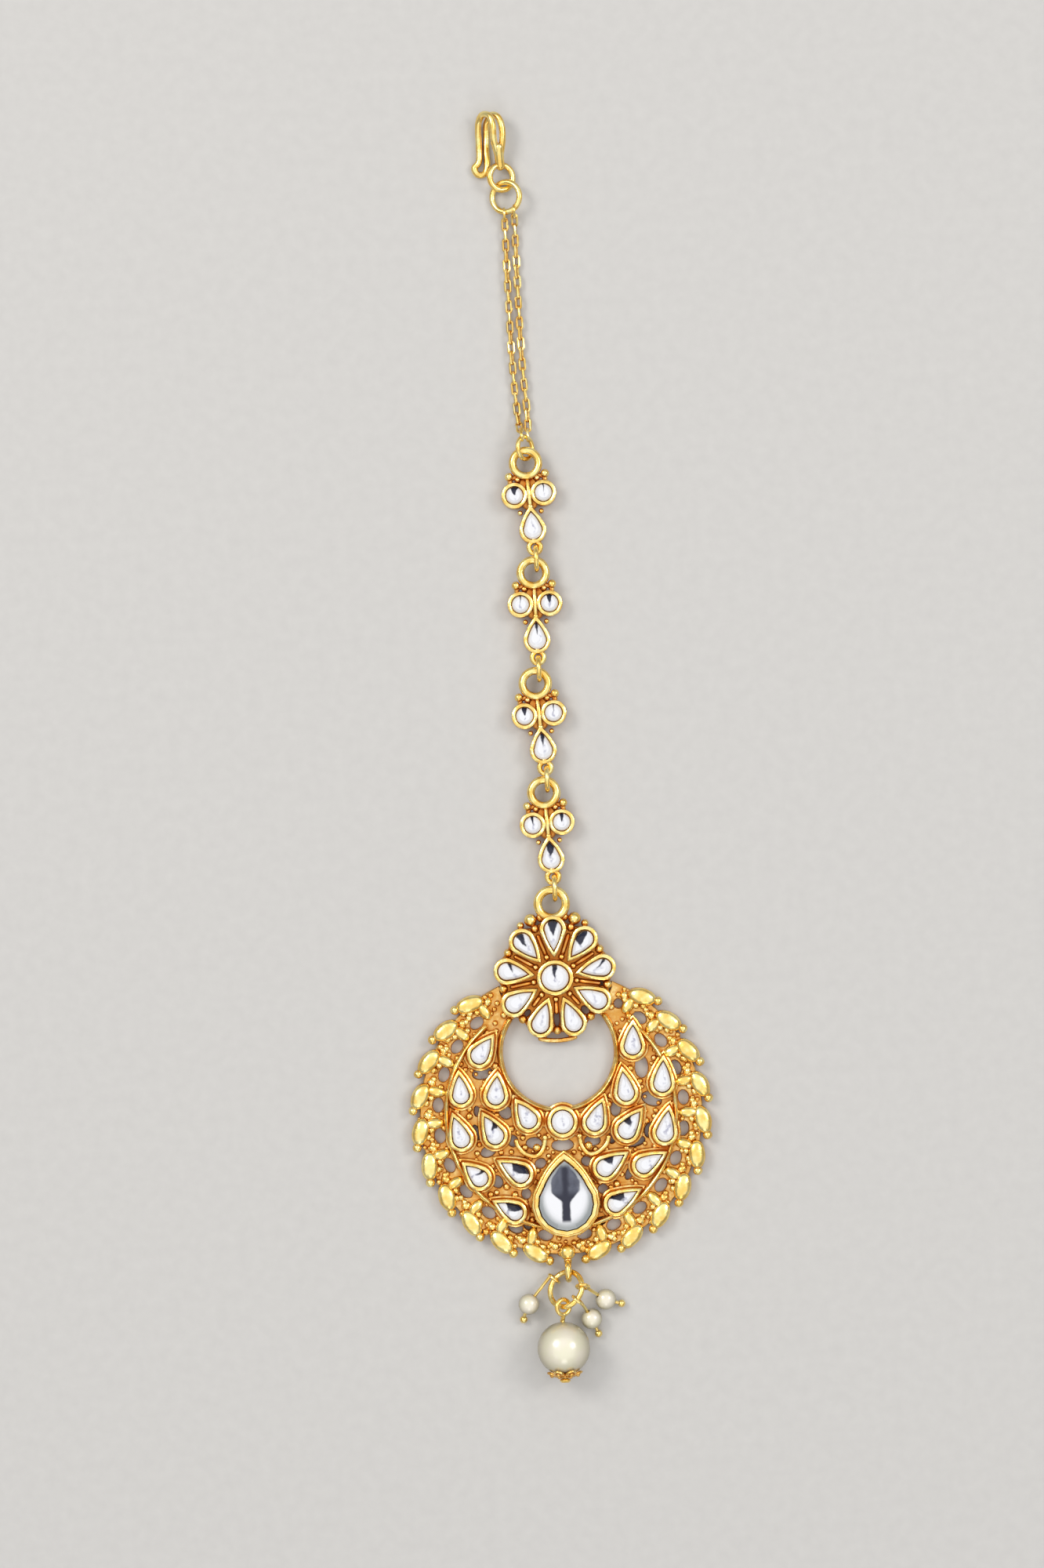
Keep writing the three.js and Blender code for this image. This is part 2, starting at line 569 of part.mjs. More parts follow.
// Large pearl, bored along Y, with the pin's eye at its +Y end and the cap at its -Y end
function largePearl() {
  const { x, y, radius } = PEARL;
  const z = radius;
  const lowest = onDropRing(-90).point;
  const eye = new THREE.Vector3(PEARL_EYE.x, lowest.y - RING_CLEARANCE.pearlEye, z);
  const pinTop = [x, eye.y - PEARL_EYE.radius, z];
  const capBottom = y - radius - PEARL_CAP.clearance - PEARL_CAP.thickness;
  const headMiddle = [x, capBottom - PEARL_PIN_HEAD.gap - PEARL_PIN_HEAD.thickness / 2, z];
  const turn = radians(PEARL_EYE.turn);
  const side = new THREE.Vector3(Math.sin(turn), 0, Math.cos(turn));
  const eyeAlong = new THREE.Vector3(0, 1, 0);
  const bore = rod([x, y - radius - 1, z], [x, y + radius + 1, z], PEARL_PIN_RADIUS + STONE_GAP);
  const whole = ball(radius, x, y, z, 20, 14);
  const flatness = PEARL_PIN_HEAD.thickness / (2 * PEARL_PIN_HEAD.radius);
  const head = new THREE.SphereGeometry(PEARL_PIN_HEAD.radius, 10, 6).scale(1, flatness, 1);
  const pin = join([
    ringInPlane(eye, PEARL_EYE.radius, PEARL_EYE.wire, eyeAlong, side, 16, 6),
    rod(pinTop, headMiddle, PEARL_PIN_RADIUS),
    head.translate(...headMiddle),
  ]);
  return [
    piece('pearl', geometryOf(solid(whole).subtract(solid(bore))), 'pearl'),
    piece('pearl_pin', geometryOf(pin), 'gold'),
    piece('pearl_cap', capGeometry().translate(x, y, z), 'gold'),
  ];
}

// A dished cap that hugs the lower end of the pearl, open in the middle for the pin
function capGeometry() {
  const inside = PEARL.radius + PEARL_CAP.clearance;
  const outside = inside + PEARL_CAP.thickness;
  const hole = PEARL_PIN_RADIUS + STONE_GAP;
  const steps = 4;
  const arc = (radius, from, to) => Array.from({ length: steps + 1 }, (_, i) => {
    const angle = from + (to - from) * i / steps;
    return new THREE.Vector2(radius * Math.sin(angle), -radius * Math.cos(angle));
  });
  const edge = radians(PEARL_CAP.halfAngle);
  const profile = [
    ...arc(outside, Math.asin(hole / outside), edge),
    ...arc(inside, edge, Math.asin(hole / inside)),
  ];
  profile.push(profile[0].clone());
  return new THREE.LatheGeometry(profile, 16);
}

function smallDrops() {
  return SMALL_DROPS.flatMap(({ ringAngle, pearl, head }, index) => {
    const { out, point } = onDropRing(ringAngle);
    const middle = new THREE.Vector3(...pearl, SMALL_PEARL_RADIUS);
    const reach = middle.clone().sub(point);
    const wireLine = DROP_RING.along.clone().cross(DROP_RING.across).cross(out);
    const away = reach.addScaledVector(wireLine, -reach.dot(wireLine)).normalize();
    const eye = point.clone().addScaledVector(away, RING_CLEARANCE.smallEye);
    const eyeSide = away.clone().cross(wireLine);
    const shankTop = eye.clone().addScaledVector(away, SMALL_PIN.eye);
    const headMiddle = [...head, SMALL_PIN.headHeight];
    const line = [shankTop.toArray(), middle.toArray(), headMiddle];
    const bore = wireAlong(line, SMALL_PIN.radius + STONE_GAP, 6, 6);
    const whole = ball(SMALL_PEARL_RADIUS, ...middle.toArray(), 12, 8);
    const pin = join([
      ringInPlane(eye, SMALL_PIN.eye, SMALL_PIN.radius, away, eyeSide, 14, 5),
      wireAlong(line, SMALL_PIN.radius, 6, 6),
      ball(SMALL_PIN.head, ...headMiddle, 8, 6),
    ]);
    const bored = geometryOf(solid(whole).subtract(solid(bore)));
    return [
      piece(`small_pearl_${index + 1}`, bored, 'pearl'),
      piece(`small_pin_${index + 1}`, geometryOf(pin), 'gold'),
    ];
  });
}

// ---- Assembly ----------------------------------------------------------------------------

const tikka = new THREE.Group();
tikka.add(
  piece('hook', hookGeometry(), 'gold'),
  piece('chain_ring', wireRing(CHAIN_RING), 'gold'),
  piece('chain_left', strandGeometry(-1), 'gold'),
  piece('chain_right', strandGeometry(1), 'gold'),
  piece('chain_end_ring', wireRing(CHAIN_END_RING, 18), 'gold'),
);

const linkShape = linkGeometry();
LINK_PLACES.forEach((place, index) => {
  const link = piece(`link_${index + 1}`, linkShape, 'gold');
  link.position.set(place.x, place.y, 0);
  link.rotation.z = radians(place.turn);
  tikka.add(link);
  tikka.add(piece(`link_ring_${index + 1}`, linkJumpRing(place), 'gold'));
});

tikka.add(
  piece('pendant_setting', pendantGeometry(), 'gold'),
  ...pendantStones(),
  piece('drop_ring', dropRingGeometry(), 'gold'),
  ...largePearl(),
  ...smallDrops(),
);

const footprint = new THREE.Box3().setFromObject(tikka, true);
const middle = footprint.getCenter(new THREE.Vector3());
tikka.position.set(-middle.x, -middle.y, -footprint.min.z);

export default tikka;
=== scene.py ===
import math
import random

import bmesh
import bpy
import numpy as np
from mathutils import Matrix, Vector, geometry, noise


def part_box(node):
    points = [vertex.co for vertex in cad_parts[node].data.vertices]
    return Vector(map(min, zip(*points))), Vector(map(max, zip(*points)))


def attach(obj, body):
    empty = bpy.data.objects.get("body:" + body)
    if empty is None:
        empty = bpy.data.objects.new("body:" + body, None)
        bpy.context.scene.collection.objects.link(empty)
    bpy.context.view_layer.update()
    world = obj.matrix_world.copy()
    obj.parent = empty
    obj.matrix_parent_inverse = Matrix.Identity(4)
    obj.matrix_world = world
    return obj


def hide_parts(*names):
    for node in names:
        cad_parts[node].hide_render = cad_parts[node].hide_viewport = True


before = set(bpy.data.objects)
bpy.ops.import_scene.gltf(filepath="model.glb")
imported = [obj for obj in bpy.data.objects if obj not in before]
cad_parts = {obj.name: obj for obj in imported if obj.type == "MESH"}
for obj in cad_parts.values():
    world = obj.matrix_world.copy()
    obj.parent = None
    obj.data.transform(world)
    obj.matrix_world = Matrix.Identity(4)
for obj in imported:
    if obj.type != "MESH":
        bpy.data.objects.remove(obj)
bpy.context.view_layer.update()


# ---- Hair hook ---------------------------------------------------------------------------
# The hook that slides into the hair: one brass wire doubled back on itself, bent over into
# a long hook with a curled hairpin tip, its two ends soldered into a round eye.

MM = 0.001
HOOK_WIRE = 0.42                  # radius of the doubled wire, mm
HOOK_EYE_RADIUS = 1.6             # middle of the eye's wire
HOOK_EYE_WIRE = 0.38
HOOK_EYE_LEAN = math.radians(25)  # the eye's left side stands up
HOOK_NECK = [(-0.06, 1.45, 0.1), (-0.12, 2.3, 0.45), (-0.16, 3.7, 1.05)]
HOOK_NECK_RADIUS = 0.6
HOOK_EYE_LIFT = 0.09              # the low side of the eye is this far off the surface

# The wire's run from the neck, over the bend, round the curled tip and back, from the eye's middle
HOOK_RUN = [
    (-0.3, 2.7, 0.65), (-0.75, 4.6, 1.6), (-0.82, 6.4, 2.0), (-1.17, 7.63, 1.8),
    (-2.07, 7.9, 0.95), (-2.62, 6.9, 0.0), (-2.67, 4.8, -0.4), (-2.67, 3.0, -0.53),
    (-2.82, 2.05, -0.6), (-3.37, 1.35, -0.65), (-2.92, 0.55, -0.65), (-2.02, 0.7, -0.65),
    (-1.72, 1.9, -0.65), (-1.77, 3.6, -0.69), (-1.67, 5.4, -0.69), (-1.57, 7.0, -0.4),
    (-0.97, 7.9, 0.45), (-0.12, 7.58, 1.1), (0.33, 6.4, 1.2), (0.38, 4.8, 1.05),
    (0.05, 2.8, 0.6),
]


def middle(node):
    """The middle of a CAD node's box, in millimetres."""
    low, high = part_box(node)
    return (low + high) / 2 / MM


def smooth_line(points, per_span, closed=False):
    """Points on a smooth curve through the given ones."""
    points = [Vector(point) for point in points]
    count = len(points)
    spans = count if closed else count - 1
    line = []
    for span in range(spans):
        around = [span - 1, span, span + 1, span + 2]
        if closed:
            before, start, end, after = (points[i % count] for i in around)
        else:
            before, start, end, after = (points[min(max(i, 0), count - 1)] for i in around)
        for step in range(per_span):
            t = step / per_span
            bend = (end - before) * t + (2 * before - 5 * start + 4 * end - after) * t ** 2
            bend += (3 * start - before - 3 * end + after) * t ** 3
            line.append(start + bend / 2)
    if not closed:
        line.append(points[-1])
    return line


def circle_line(centre, first, second, radius, count):
    """Points round a circle in the plane of two directions."""
    first = first.normalized()
    second = (second - second.project(first)).normalized()
    turns = [2 * math.pi * i / count for i in range(count)]
    return [centre + radius * (math.cos(a) * first + math.sin(a) * second) for a in turns]


FLAT_BACK = 0.001                 # no point of a flat back is above this, mm
KNEAD_SEED = 5                    # the same uneven surface on every run
noise.seed_set(KNEAD_SEED)


class Metalwork:
    """Closed shells in millimetres, soldered together into one piece."""

    ROUNDED_END = (20, 45, 70, 86)  # where the half-round end of a wire has its rings, degrees

    def __init__(self):
        self.mesh = bmesh.new()

    def loft(self, rings, closed=False):
        """Skin between rings of equal count, capped at both ends or closed on itself."""
        rows = [[self.mesh.verts.new(point) for point in ring] for ring in rings]
        pairs = list(zip(rows, rows[1:]))
        if closed:
            pairs.append((rows[-1], rows[0]))
        for lower, upper in pairs:
            for i in range(len(lower)):
                after = (i + 1) % len(lower)
                self.mesh.faces.new((lower[i], lower[after], upper[after], upper[i]))
        if not closed:
            self.mesh.faces.new(rows[0][::-1])
            self.mesh.faces.new(rows[-1])

    def wire(self, line, radius, closed=False, sides=12, flat=1.0):
        """A round or flattened wire along a line, with rounded ends where it's open."""
        count = len(line)
        tangents = []
        for i in range(count):
            before = line[i - 1] if closed or i else line[i]
            after = line[(i + 1) % count] if closed or i < count - 1 else line[i]
            tangents.append((after - before).normalized())
        up = Vector((0, 0, 1))
        if abs(tangents[0].dot(up)) > 0.9:
            up = Vector((1, 0, 0))
        side = tangents[0].cross(up).normalized()
        frames = []
        for tangent in tangents:
            side = (side - side.project(tangent)).normalized()
            frames.append((side, tangent.cross(side)))
        if closed:
            drift = frames[-1][0]
            drift = (drift - drift.project(tangents[0])).normalized()
            turned = math.atan2(drift.dot(frames[0][1]), drift.dot(frames[0][0]))
        else:
            turned = 0.0
        rings = []
        for i, (point, (across, over)) in enumerate(zip(line, frames)):
            twist = -turned * i / count
            rings.append((point, across, over, twist, 1.0))
        if not closed:
            first, last = rings[0], rings[-1]
            start, end = [], []
            for angle in self.ROUNDED_END:
                reach = radius * math.sin(math.radians(angle))
                size = math.cos(math.radians(angle))
                start.insert(0, (first[0] - tangents[0] * reach, *first[1:4], size))
                end.append((last[0] + tangents[-1] * reach, *last[1:4], size))
            rings = start + rings + end
        skins = []
        for point, across, over, twist, size in rings:
            skin = []
            for k in range(sides):
                a = 2 * math.pi * k / sides + twist
                skin.append(point + size * radius * (math.cos(a) * across + flat * math.sin(a) * over))
            skins.append(skin)
        self.loft(skins, closed)

    def ball(self, centre, radius, flatness=1.0, fine=2):
        """A granule of metal, round or pressed a little flat."""
        spread = Matrix.Translation(centre) @ Matrix.Diagonal((1, 1, flatness, 1))
        bmesh.ops.create_icosphere(self.mesh, subdivisions=fine, radius=radius, matrix=spread)

    def plate(self, outline, holes, bottom, top, soften=0.12):
        """A flat casting with softened edges, pierced by holes."""
        skins = []
        for loop, turning in [(outline, 1)] + [(hole, -1) for hole in holes]:
            area = sum(a.x * b.y - a.y * b.x for a, b in zip(loop, loop[1:] + loop[:1]))
            loop = loop if area * turning > 0 else loop[::-1]
            inner = []
            for i, point in enumerate(loop):
                along = (loop[(i + 1) % len(loop)] - loop[i - 1]).normalized()
                inner.append(point + Vector((-along.y, along.x)) * soften)
            levels = [(inner, bottom), (loop, bottom + soften), (loop, top - soften), (inner, top)]
            rows = [[self.mesh.verts.new((p.x, p.y, z)) for p in line] for line, z in levels]
            for lower, upper in zip(rows, rows[1:]):
                for i in range(len(lower)):
                    after = (i + 1) % len(lower)
                    self.mesh.faces.new((lower[i], lower[after], upper[after], upper[i]))
            skins.append((inner, rows[0], rows[-1]))
        flat = [[(p.x, p.y, 0) for p in inner] for inner, _, _ in skins]
        lower = [vertex for _, row, _ in skins for vertex in row]
        upper = [vertex for _, _, row in skins for vertex in row]
        for a, b, c in geometry.tessellate_polygon(flat):
            self.mesh.faces.new((upper[a], upper[b], upper[c]))
            self.mesh.faces.new((lower[c], lower[b], lower[a]))

    def dome(self, outline, bottom, edge, top, steps=5, last_angle=84):
        """A domed lump on an outline, from straight low sides to a rounded top."""
        centre = sum(outline, Vector((0, 0))) / len(outline)
        rings = [[Vector((p.x, p.y, bottom)) for p in outline]]
        for i in range(steps):
            a = math.radians(last_angle) * i / (steps - 1)
            scale = math.cos(a)
            height = edge + (top - edge) * math.sin(a)
            flat = [centre + (p - centre) * scale for p in outline]
            rings.append([Vector((p.x, p.y, height)) for p in flat])
        self.loft(rings)

    def collet(self, setting, foot, top, wall, gap):
        """A wall of metal round a stone, with a rounded lip."""
        outer = gap + wall
        # Distance out from the stone and height: up the outside, over the lip, down the inside
        profile = [
            (outer, foot), (outer, top - 0.25), (outer - 0.07, top - 0.08), (gap + wall / 2, top),
            (gap + 0.05, top - 0.06), (gap, top - 0.2), (gap, foot),
        ]
        self.loft([setting.ring(height, grow) for grow, height in profile], closed=True)

    def knead(self, amount, size):
        """Moves the surface a little, as hand-worked metal is uneven. A flat back stays flat."""
        for vertex in self.mesh.verts:
            if vertex.co.z > FLAT_BACK:
                vertex.co += noise.noise_vector(vertex.co / size) * amount
                vertex.co.z = max(vertex.co.z, 0.0)

    def piece(self, name, material, nodes, sharp=35):
        """The finished piece, in metres, which rides on the jewel and stands for its nodes."""
        bmesh.ops.recalc_face_normals(self.mesh, faces=self.mesh.faces)
        bmesh.ops.scale(self.mesh, vec=(MM, MM, MM), verts=self.mesh.verts)
        mesh = bpy.data.meshes.new(name)
        self.mesh.to_mesh(mesh)
        self.mesh.free()
        mesh.shade_smooth()
        mesh.set_sharp_from_angle(angle=math.radians(sharp))
        for face in mesh.polygons:
            face.use_smooth = face.center.z > FLAT_BACK * MM
        made = bpy.data.objects.new(name, mesh)
        bpy.context.scene.collection.objects.link(made)
        mesh.materials.append(material)
        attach(made, "root")
        if nodes:
            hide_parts(*nodes)
        return made


class Signal:
    """A number or colour that a shader node gives; arithmetic on it adds Math nodes."""

    def __init__(self, finish, socket):
        self.finish = finish
        self.socket = socket

    def math(self, operation, *values):
        inputs = dict(enumerate(values))
        return self.finish.node("ShaderNodeMath", {"operation": operation}, inputs)

    def __add__(self, other):
        return self.math("ADD", self, other)

    def __sub__(self, other):
        return self.math("SUBTRACT", self, other)

    def __rsub__(self, other):
        return self.math("SUBTRACT", other, self)

    def __mul__(self, other):
        return self.math("MULTIPLY", self, other)

    __radd__ = __add__
    __rmul__ = __mul__

    def step(self, low, high):
        """0 below low and 1 above high, smooth between."""
        settings = {"interpolation_type": "SMOOTHSTEP"}
        inputs = {"Value": self, "From Min": low, "From Max": high}
        return self.finish.node("ShaderNodeMapRange", settings, inputs)


class Finish:
    """A material made of nodes. node() adds any node and gives back one of its outputs."""

    def __init__(self, name):
        self.material = bpy.data.materials.new(name)
        self.material.use_nodes = True
        self.tree = self.material.node_tree
        self.tree.nodes.clear()

    def node(self, kind, settings=None, inputs=None, output=0):
        made = self.tree.nodes.new(kind)
        for key, value in (settings or {}).items():
            setattr(made, key, value)
        for key, value in (inputs or {}).items():
            if isinstance(value, Signal):
                self.tree.links.new(value.socket, made.inputs[key])
            else:
                made.inputs[key].default_value = value
        return Signal(self, made.outputs[output]) if made.outputs else None

    def parts(self, vector):
        """The X, Y and Z of a vector."""
        split = self.node("ShaderNodeSeparateXYZ", {}, {0: vector})
        return [Signal(self, output) for output in split.socket.node.outputs]

    def mix(self, factor, first, second):
        inputs = {0: factor, 6: first, 7: second}
        return self.node("ShaderNodeMix", {"data_type": "RGBA"}, inputs, output=2)

    def grain(self, place, size, detail=2.0):
        """Soft noise from 0 to 1, with lumps of a size in millimetres."""
        inputs = {"Vector": place, "Scale": 1 / (size * MM), "Detail": detail}
        return self.node("ShaderNodeTexNoise", {}, inputs)

    def bump(self, height, depth):
        """A normal that follows a height from 0 to 1, of a depth in millimetres."""
        inputs = {"Height": height, "Distance": depth * MM, "Strength": 1.0}
        return self.node("ShaderNodeBump", {}, inputs)

    def surface(self, inputs):
        shader = self.node("ShaderNodeBsdfPrincipled", {}, inputs)
        self.node("ShaderNodeOutputMaterial", {}, {"Surface": shader})
        return self.material


# Gold plate over brass: lemon yellow on its open, high surfaces, with orange-brown painted shade in the
# recesses
GOLD_BRIGHT = (1.0, 0.83, 0.35, 1)
GOLD_DEEP = (0.92, 0.60, 0.15, 1)
GOLD_SHADE_AND_TONE = (0.56, 0.21, 0.035, 1)
GOLD_LUMPS = 1.1                  # size of the plate's soft lumps, mm
GOLD_SPECKS = 0.28
SHADE_EDGE_WANDER = 1.6               # how far the painted shade's upper edge goes up and down, mm


def gold_plate(name, recess_size, floor=None, top=None, depth=0.06):
    """Gold plate with orange-brown painted shade in its crevices and, on cast work, on its low parts.
    """
    finish = Finish(name)
    place = finish.node("ShaderNodeTexCoord", output=3)
    lumps = finish.grain(place, GOLD_LUMPS)
    specks = finish.grain(place, GOLD_SPECKS)
    crevice = finish.node(
        "ShaderNodeAmbientOcclusion",
        {"samples": 8, "only_local": True},
        {"Distance": recess_size * MM},
        output=1,
    )
    # Painted shade: ambient occlusion darkens the crevices to orange-brown, and below the floor the low
    # parts too
    bright_share = crevice.step(0.35, 0.95)
    if top is not None:
        height = finish.parts(place)[2]
        uneven = height + (lumps + specks - 1.0) * (SHADE_EDGE_WANDER * MM)
        bright_share = bright_share * (0.3 + 0.7 * uneven.step(floor * MM, top * MM))
    worn = finish.mix(lumps.step(0.35, 0.7), GOLD_DEEP, GOLD_BRIGHT)
    colour = finish.mix(bright_share, GOLD_SHADE_AND_TONE, worn)
    relief = 0.7 * lumps + 0.3 * specks
    return finish.surface({
        "Base Color": colour,
        "Metallic": 1.0,
        "Roughness": 0.36 - 0.14 * bright_share + 0.10 * (specks - 0.5),
        "Normal": finish.bump(relief, depth),
    })


wire_gold = gold_plate("gold wire", recess_size=0.5, depth=0.015)

hook_low, hook_high = (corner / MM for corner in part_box("hook"))
eye_reach = HOOK_EYE_RADIUS + HOOK_EYE_WIRE
eye_middle = Vector((
    hook_high.x - HOOK_EYE_RADIUS * math.cos(HOOK_EYE_LEAN) - HOOK_EYE_WIRE,
    hook_low.y + eye_reach,
    HOOK_EYE_RADIUS * math.sin(HOOK_EYE_LEAN) + HOOK_EYE_WIRE + HOOK_EYE_LIFT,
))
leaning = Vector((-math.cos(HOOK_EYE_LEAN), 0, math.sin(HOOK_EYE_LEAN)))
hook = Metalwork()
eye_line = circle_line(eye_middle, leaning, Vector((0, 1, 0)), HOOK_EYE_RADIUS, 48)
hook.wire(eye_line, HOOK_EYE_WIRE, closed=True)
hook.wire(smooth_line([eye_middle + Vector(point) for point in HOOK_RUN], 8), HOOK_WIRE)
neck_line = smooth_line([eye_middle + Vector(point) for point in HOOK_NECK], 8)
hook.wire(neck_line, HOOK_NECK_RADIUS)
hook.knead(amount=0.015, size=1.5)
hook.piece("hair_hook", wire_gold, ["hook"])


# ---- Jump rings --------------------------------------------------------------------------
# Rings of round brass wire, cut from a coil and closed with pliers. One joins the hook to the
# chain, one the chain to the first link, and four more stand on edge below the links.

CHAIN_RING_WIRE = 0.37
CHAIN_END_RING_WIRE = 0.3
LINK_RING_WIRE = 0.31
RING_JOINT = 2.5                  # the closed joint of a jump ring, in degrees
RING_STEPS = 56
UP = Vector((0, 0, 1))
ALONG = Vector((0, 1, 0))
ACROSS = Vector((1, 0, 0))


def corners(node):
    """A CAD node's vertices, in millimetres."""
    return [vertex.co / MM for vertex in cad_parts[node].data.vertices]


def ring_place(node, wire):
    """A CAD ring's centre, two directions in its plane and the radius of its wire's middle."""
    points = np.array(corners(node))
    centre = points.mean(0)
    normal = Vector(np.linalg.svd(points - centre)[2][2])
    level = ACROSS if abs(normal.x) < 0.9 else UP
    first = (level - level.project(normal)).normalized()
    second = normal.cross(first)
    if second.y < 0:
        second = -second
    radius = float(max(np.linalg.norm(points - centre, axis=1))) - wire
    return Vector(centre), first, second, radius


def jump_ring(node, wire, joint):
    """A jump ring whose two cut ends meet at an angle round it from its right or upper side."""
    centre, first, second, radius = ring_place(node, wire)
    ring = Metalwork()
    line = []
    for i in range(RING_STEPS + 1):
        a = math.radians(joint + RING_JOINT / 2 + (360 - RING_JOINT) * i / RING_STEPS)
        line.append(centre + radius * (math.cos(a) * first + math.sin(a) * second))
    ring.wire(line, wire)
    ring.knead(amount=0.01, size=1.5)
    ring.piece(f"{node}_wire", wire_gold, [node])


jump_ring("chain_ring", CHAIN_RING_WIRE, joint=20)
jump_ring("chain_end_ring", CHAIN_END_RING_WIRE, joint=170)
for number in range(1, 5):
    jump_ring(f"link_ring_{number}", LINK_RING_WIRE, joint=190 + 20 * number)


# ---- Fine chain --------------------------------------------------------------------------
# Two strands of fine cable chain, side by side. Each link is a small oval of brass wire,
# turned a quarter against its neighbour, and a wider one at each end hangs on a jump ring.

CHAIN_LINK_PITCH = 1.31
CHAIN_LINK_WIRE = 0.16
CHAIN_LINK_HALF_LENGTH = 0.8      # to the middle of the wire
CHAIN_LINK_HALF_WIDTH = 0.34
CHAIN_END_LINK_HALF_WIDTH = 0.6
CHAIN_LIE = 0.62                  # height of the strand's middle above the surface
CHAIN_BENDS = (1.2, 9.0, 18.0, 25.0)   # where the strand's route bends, from its upper end
CHAIN_END_SPREAD = 0.4            # each strand's lower end, from the middle of its ring
CHAIN_SLICE = 2.4                 # the CAD strand's middle is read over this much, up and down
CHAIN_ROLLS = (-75, 15)           # even and odd links, in degrees about the strand
CHAIN_ROLL_DRIFT = 12             # no two links lie quite the same
CHAIN_LINK_STEPS = 28

chain_gold = gold_plate("fine chain gold", recess_size=1.1, depth=0.01)


def on_ring(node, wire, x, side):
    """The middle of a ring's wire at a place across it, on its upper or lower side."""
    centre, first, second, radius = ring_place(node, wire)
    out = (x - centre.x) / first.x
    return centre + first * out + second * side * math.sqrt(radius ** 2 - out ** 2)


def oval_link(strand, centre, along, roll, half_width):
    """One oval of wire: two straight sides with half-round ends."""
    level = UP.cross(along).normalized()
    side = Matrix.Rotation(roll, 3, along) @ level
    straight = CHAIN_LINK_HALF_LENGTH - half_width
    line = []
    for i in range(CHAIN_LINK_STEPS):
        a = 2 * math.pi * i / CHAIN_LINK_STEPS
        reach = half_width * math.cos(a) + (straight if math.cos(a) > 0 else -straight)
        line.append(centre + along * reach + side * half_width * math.sin(a))
    strand.wire(line, CHAIN_LINK_WIRE, closed=True, sides=8)


def chain_strand(node, side):
    """A strand of oval links from ring to ring, along the CAD strand."""
    points = corners(node)
    upper = max(point.y for point in points)

    def strand_middle(y):
        near = [point.x for point in points if abs(point.y - y) < CHAIN_SLICE]
        return (min(near) + max(near)) / 2

    top = on_ring("chain_ring", CHAIN_RING_WIRE, strand_middle(upper), -1)
    end_x = middle("chain_end_ring").x + CHAIN_END_SPREAD * side
    end = on_ring("chain_end_ring", CHAIN_END_RING_WIRE, end_x, 1)
    levels = [upper - down for down in CHAIN_BENDS]
    bends = [Vector((strand_middle(y), y, CHAIN_LIE)) for y in levels]
    hung = CHAIN_LINK_HALF_LENGTH / 2
    route = smooth_line([top - ALONG * hung, *bends, end + ALONG * hung], 60)
    lengths = [0.0]
    for before, after in zip(route, route[1:]):
        lengths.append(lengths[-1] + (after - before).length)
    links = round(lengths[-1] / CHAIN_LINK_PITCH)
    pitch = lengths[-1] / links
    strand = Metalwork()
    for i in range(links + 1):
        reach = min(i * pitch, lengths[-1] - 1e-6)
        at = next(k for k in range(1, len(lengths)) if lengths[k] > reach)
        along = (route[at] - route[at - 1]).normalized()
        centre = route[at - 1] + along * (reach - lengths[at - 1])
        if i in (0, links):
            oval_link(strand, centre, along, math.radians(90), CHAIN_END_LINK_HALF_WIDTH)
        else:
            roll = CHAIN_ROLLS[i % 2] + CHAIN_ROLL_DRIFT * math.sin(2.3 * i)
            oval_link(strand, centre, along, math.radians(roll), CHAIN_LINK_HALF_WIDTH)
    strand.piece(f"{node}_links", chain_gold, [node])


chain_strand("chain_left", -1)
chain_strand("chain_right", 1)


# ---- Cut stones --------------------------------------------------------------------------
# Foil-backed glass stones, most of them drops, with a flat table and a ring of facets. The
# foil makes them white; a grey streak and a dark wedge on them are painted reflections, dark
# where a facet would turn the light away.

STONE_FACETS_HIGH = 0.5           # height of the crown's facets
STONE_TABLE = 0.62                # the table's share of the stone's width
STONE_GIRDLE = 0.8                # the girdle is this far below the table
DROP_BULGE = 0.035                # how far a drop's flanks swell, as a share of its length
DROP_POINT_GROWTH = 1.5           # a drop grows this much faster at its point
ROUND_STONES = ("flower_stone", "window_stone_4")
STONE_WHITE = (0.76, 0.76, 0.78, 1)
# Painted reflections: a grey streak, and a dark wedge where the foil would mirror darkness
STONE_STREAK_REFLECTION = (0.27, 0.27, 0.38, 1)
STONE_DARK_REFLECTION = (0.012, 0.013, 0.03, 1)
STONE_GLOSS = {
    "Roughness": 0.12,
    "Specular IOR Level": 0.3,
    "Coat Weight": 0.35,
    "Coat Roughness": 0.03,
}


def oval_outline(length, width, grow=0.0, count=24):
    """Points round an oval with its length along +Y, made larger all round by grow."""
    half_width = width / 2 + grow
    half_length = length / 2 + grow
    turns = [2 * math.pi * i / count for i in range(count)]
    return [Vector((-half_width * math.sin(a), half_length * math.cos(a))) for a in turns]


def drop_outline(length, width, grow=0.0, count=24):
    """Points round a drop, centred on its length, with its point towards +Y."""
    radius = width / 2 + grow
    low = width / 2 - length / 2
    reach = length - width / 2 + DROP_POINT_GROWTH * grow
    opening = math.acos(radius / reach)
    tip = Vector((0, low + reach))
    flank = Vector((-radius * math.sin(opening), low + radius * math.cos(opening)))
    bulge = Vector((flank.y - tip.y, tip.x - flank.x)).normalized() * DROP_BULGE * length
    side_steps = count // 4
    left = []
    for i in range(1, side_steps):
        t = i / side_steps
        left.append(tip.lerp(flank, t) + bulge * 4 * t * (1 - t))
    arc_steps = count - 2 * side_steps
    arc = []
    for i in range(arc_steps + 1):
        a = opening + (2 * math.pi - 2 * opening) * i / arc_steps
        arc.append(Vector((-radius * math.sin(a), low + radius * math.cos(a))))
    right = [Vector((-point.x, point.y)) for point in reversed(left)]
    return [tip, *left, *arc, *right]


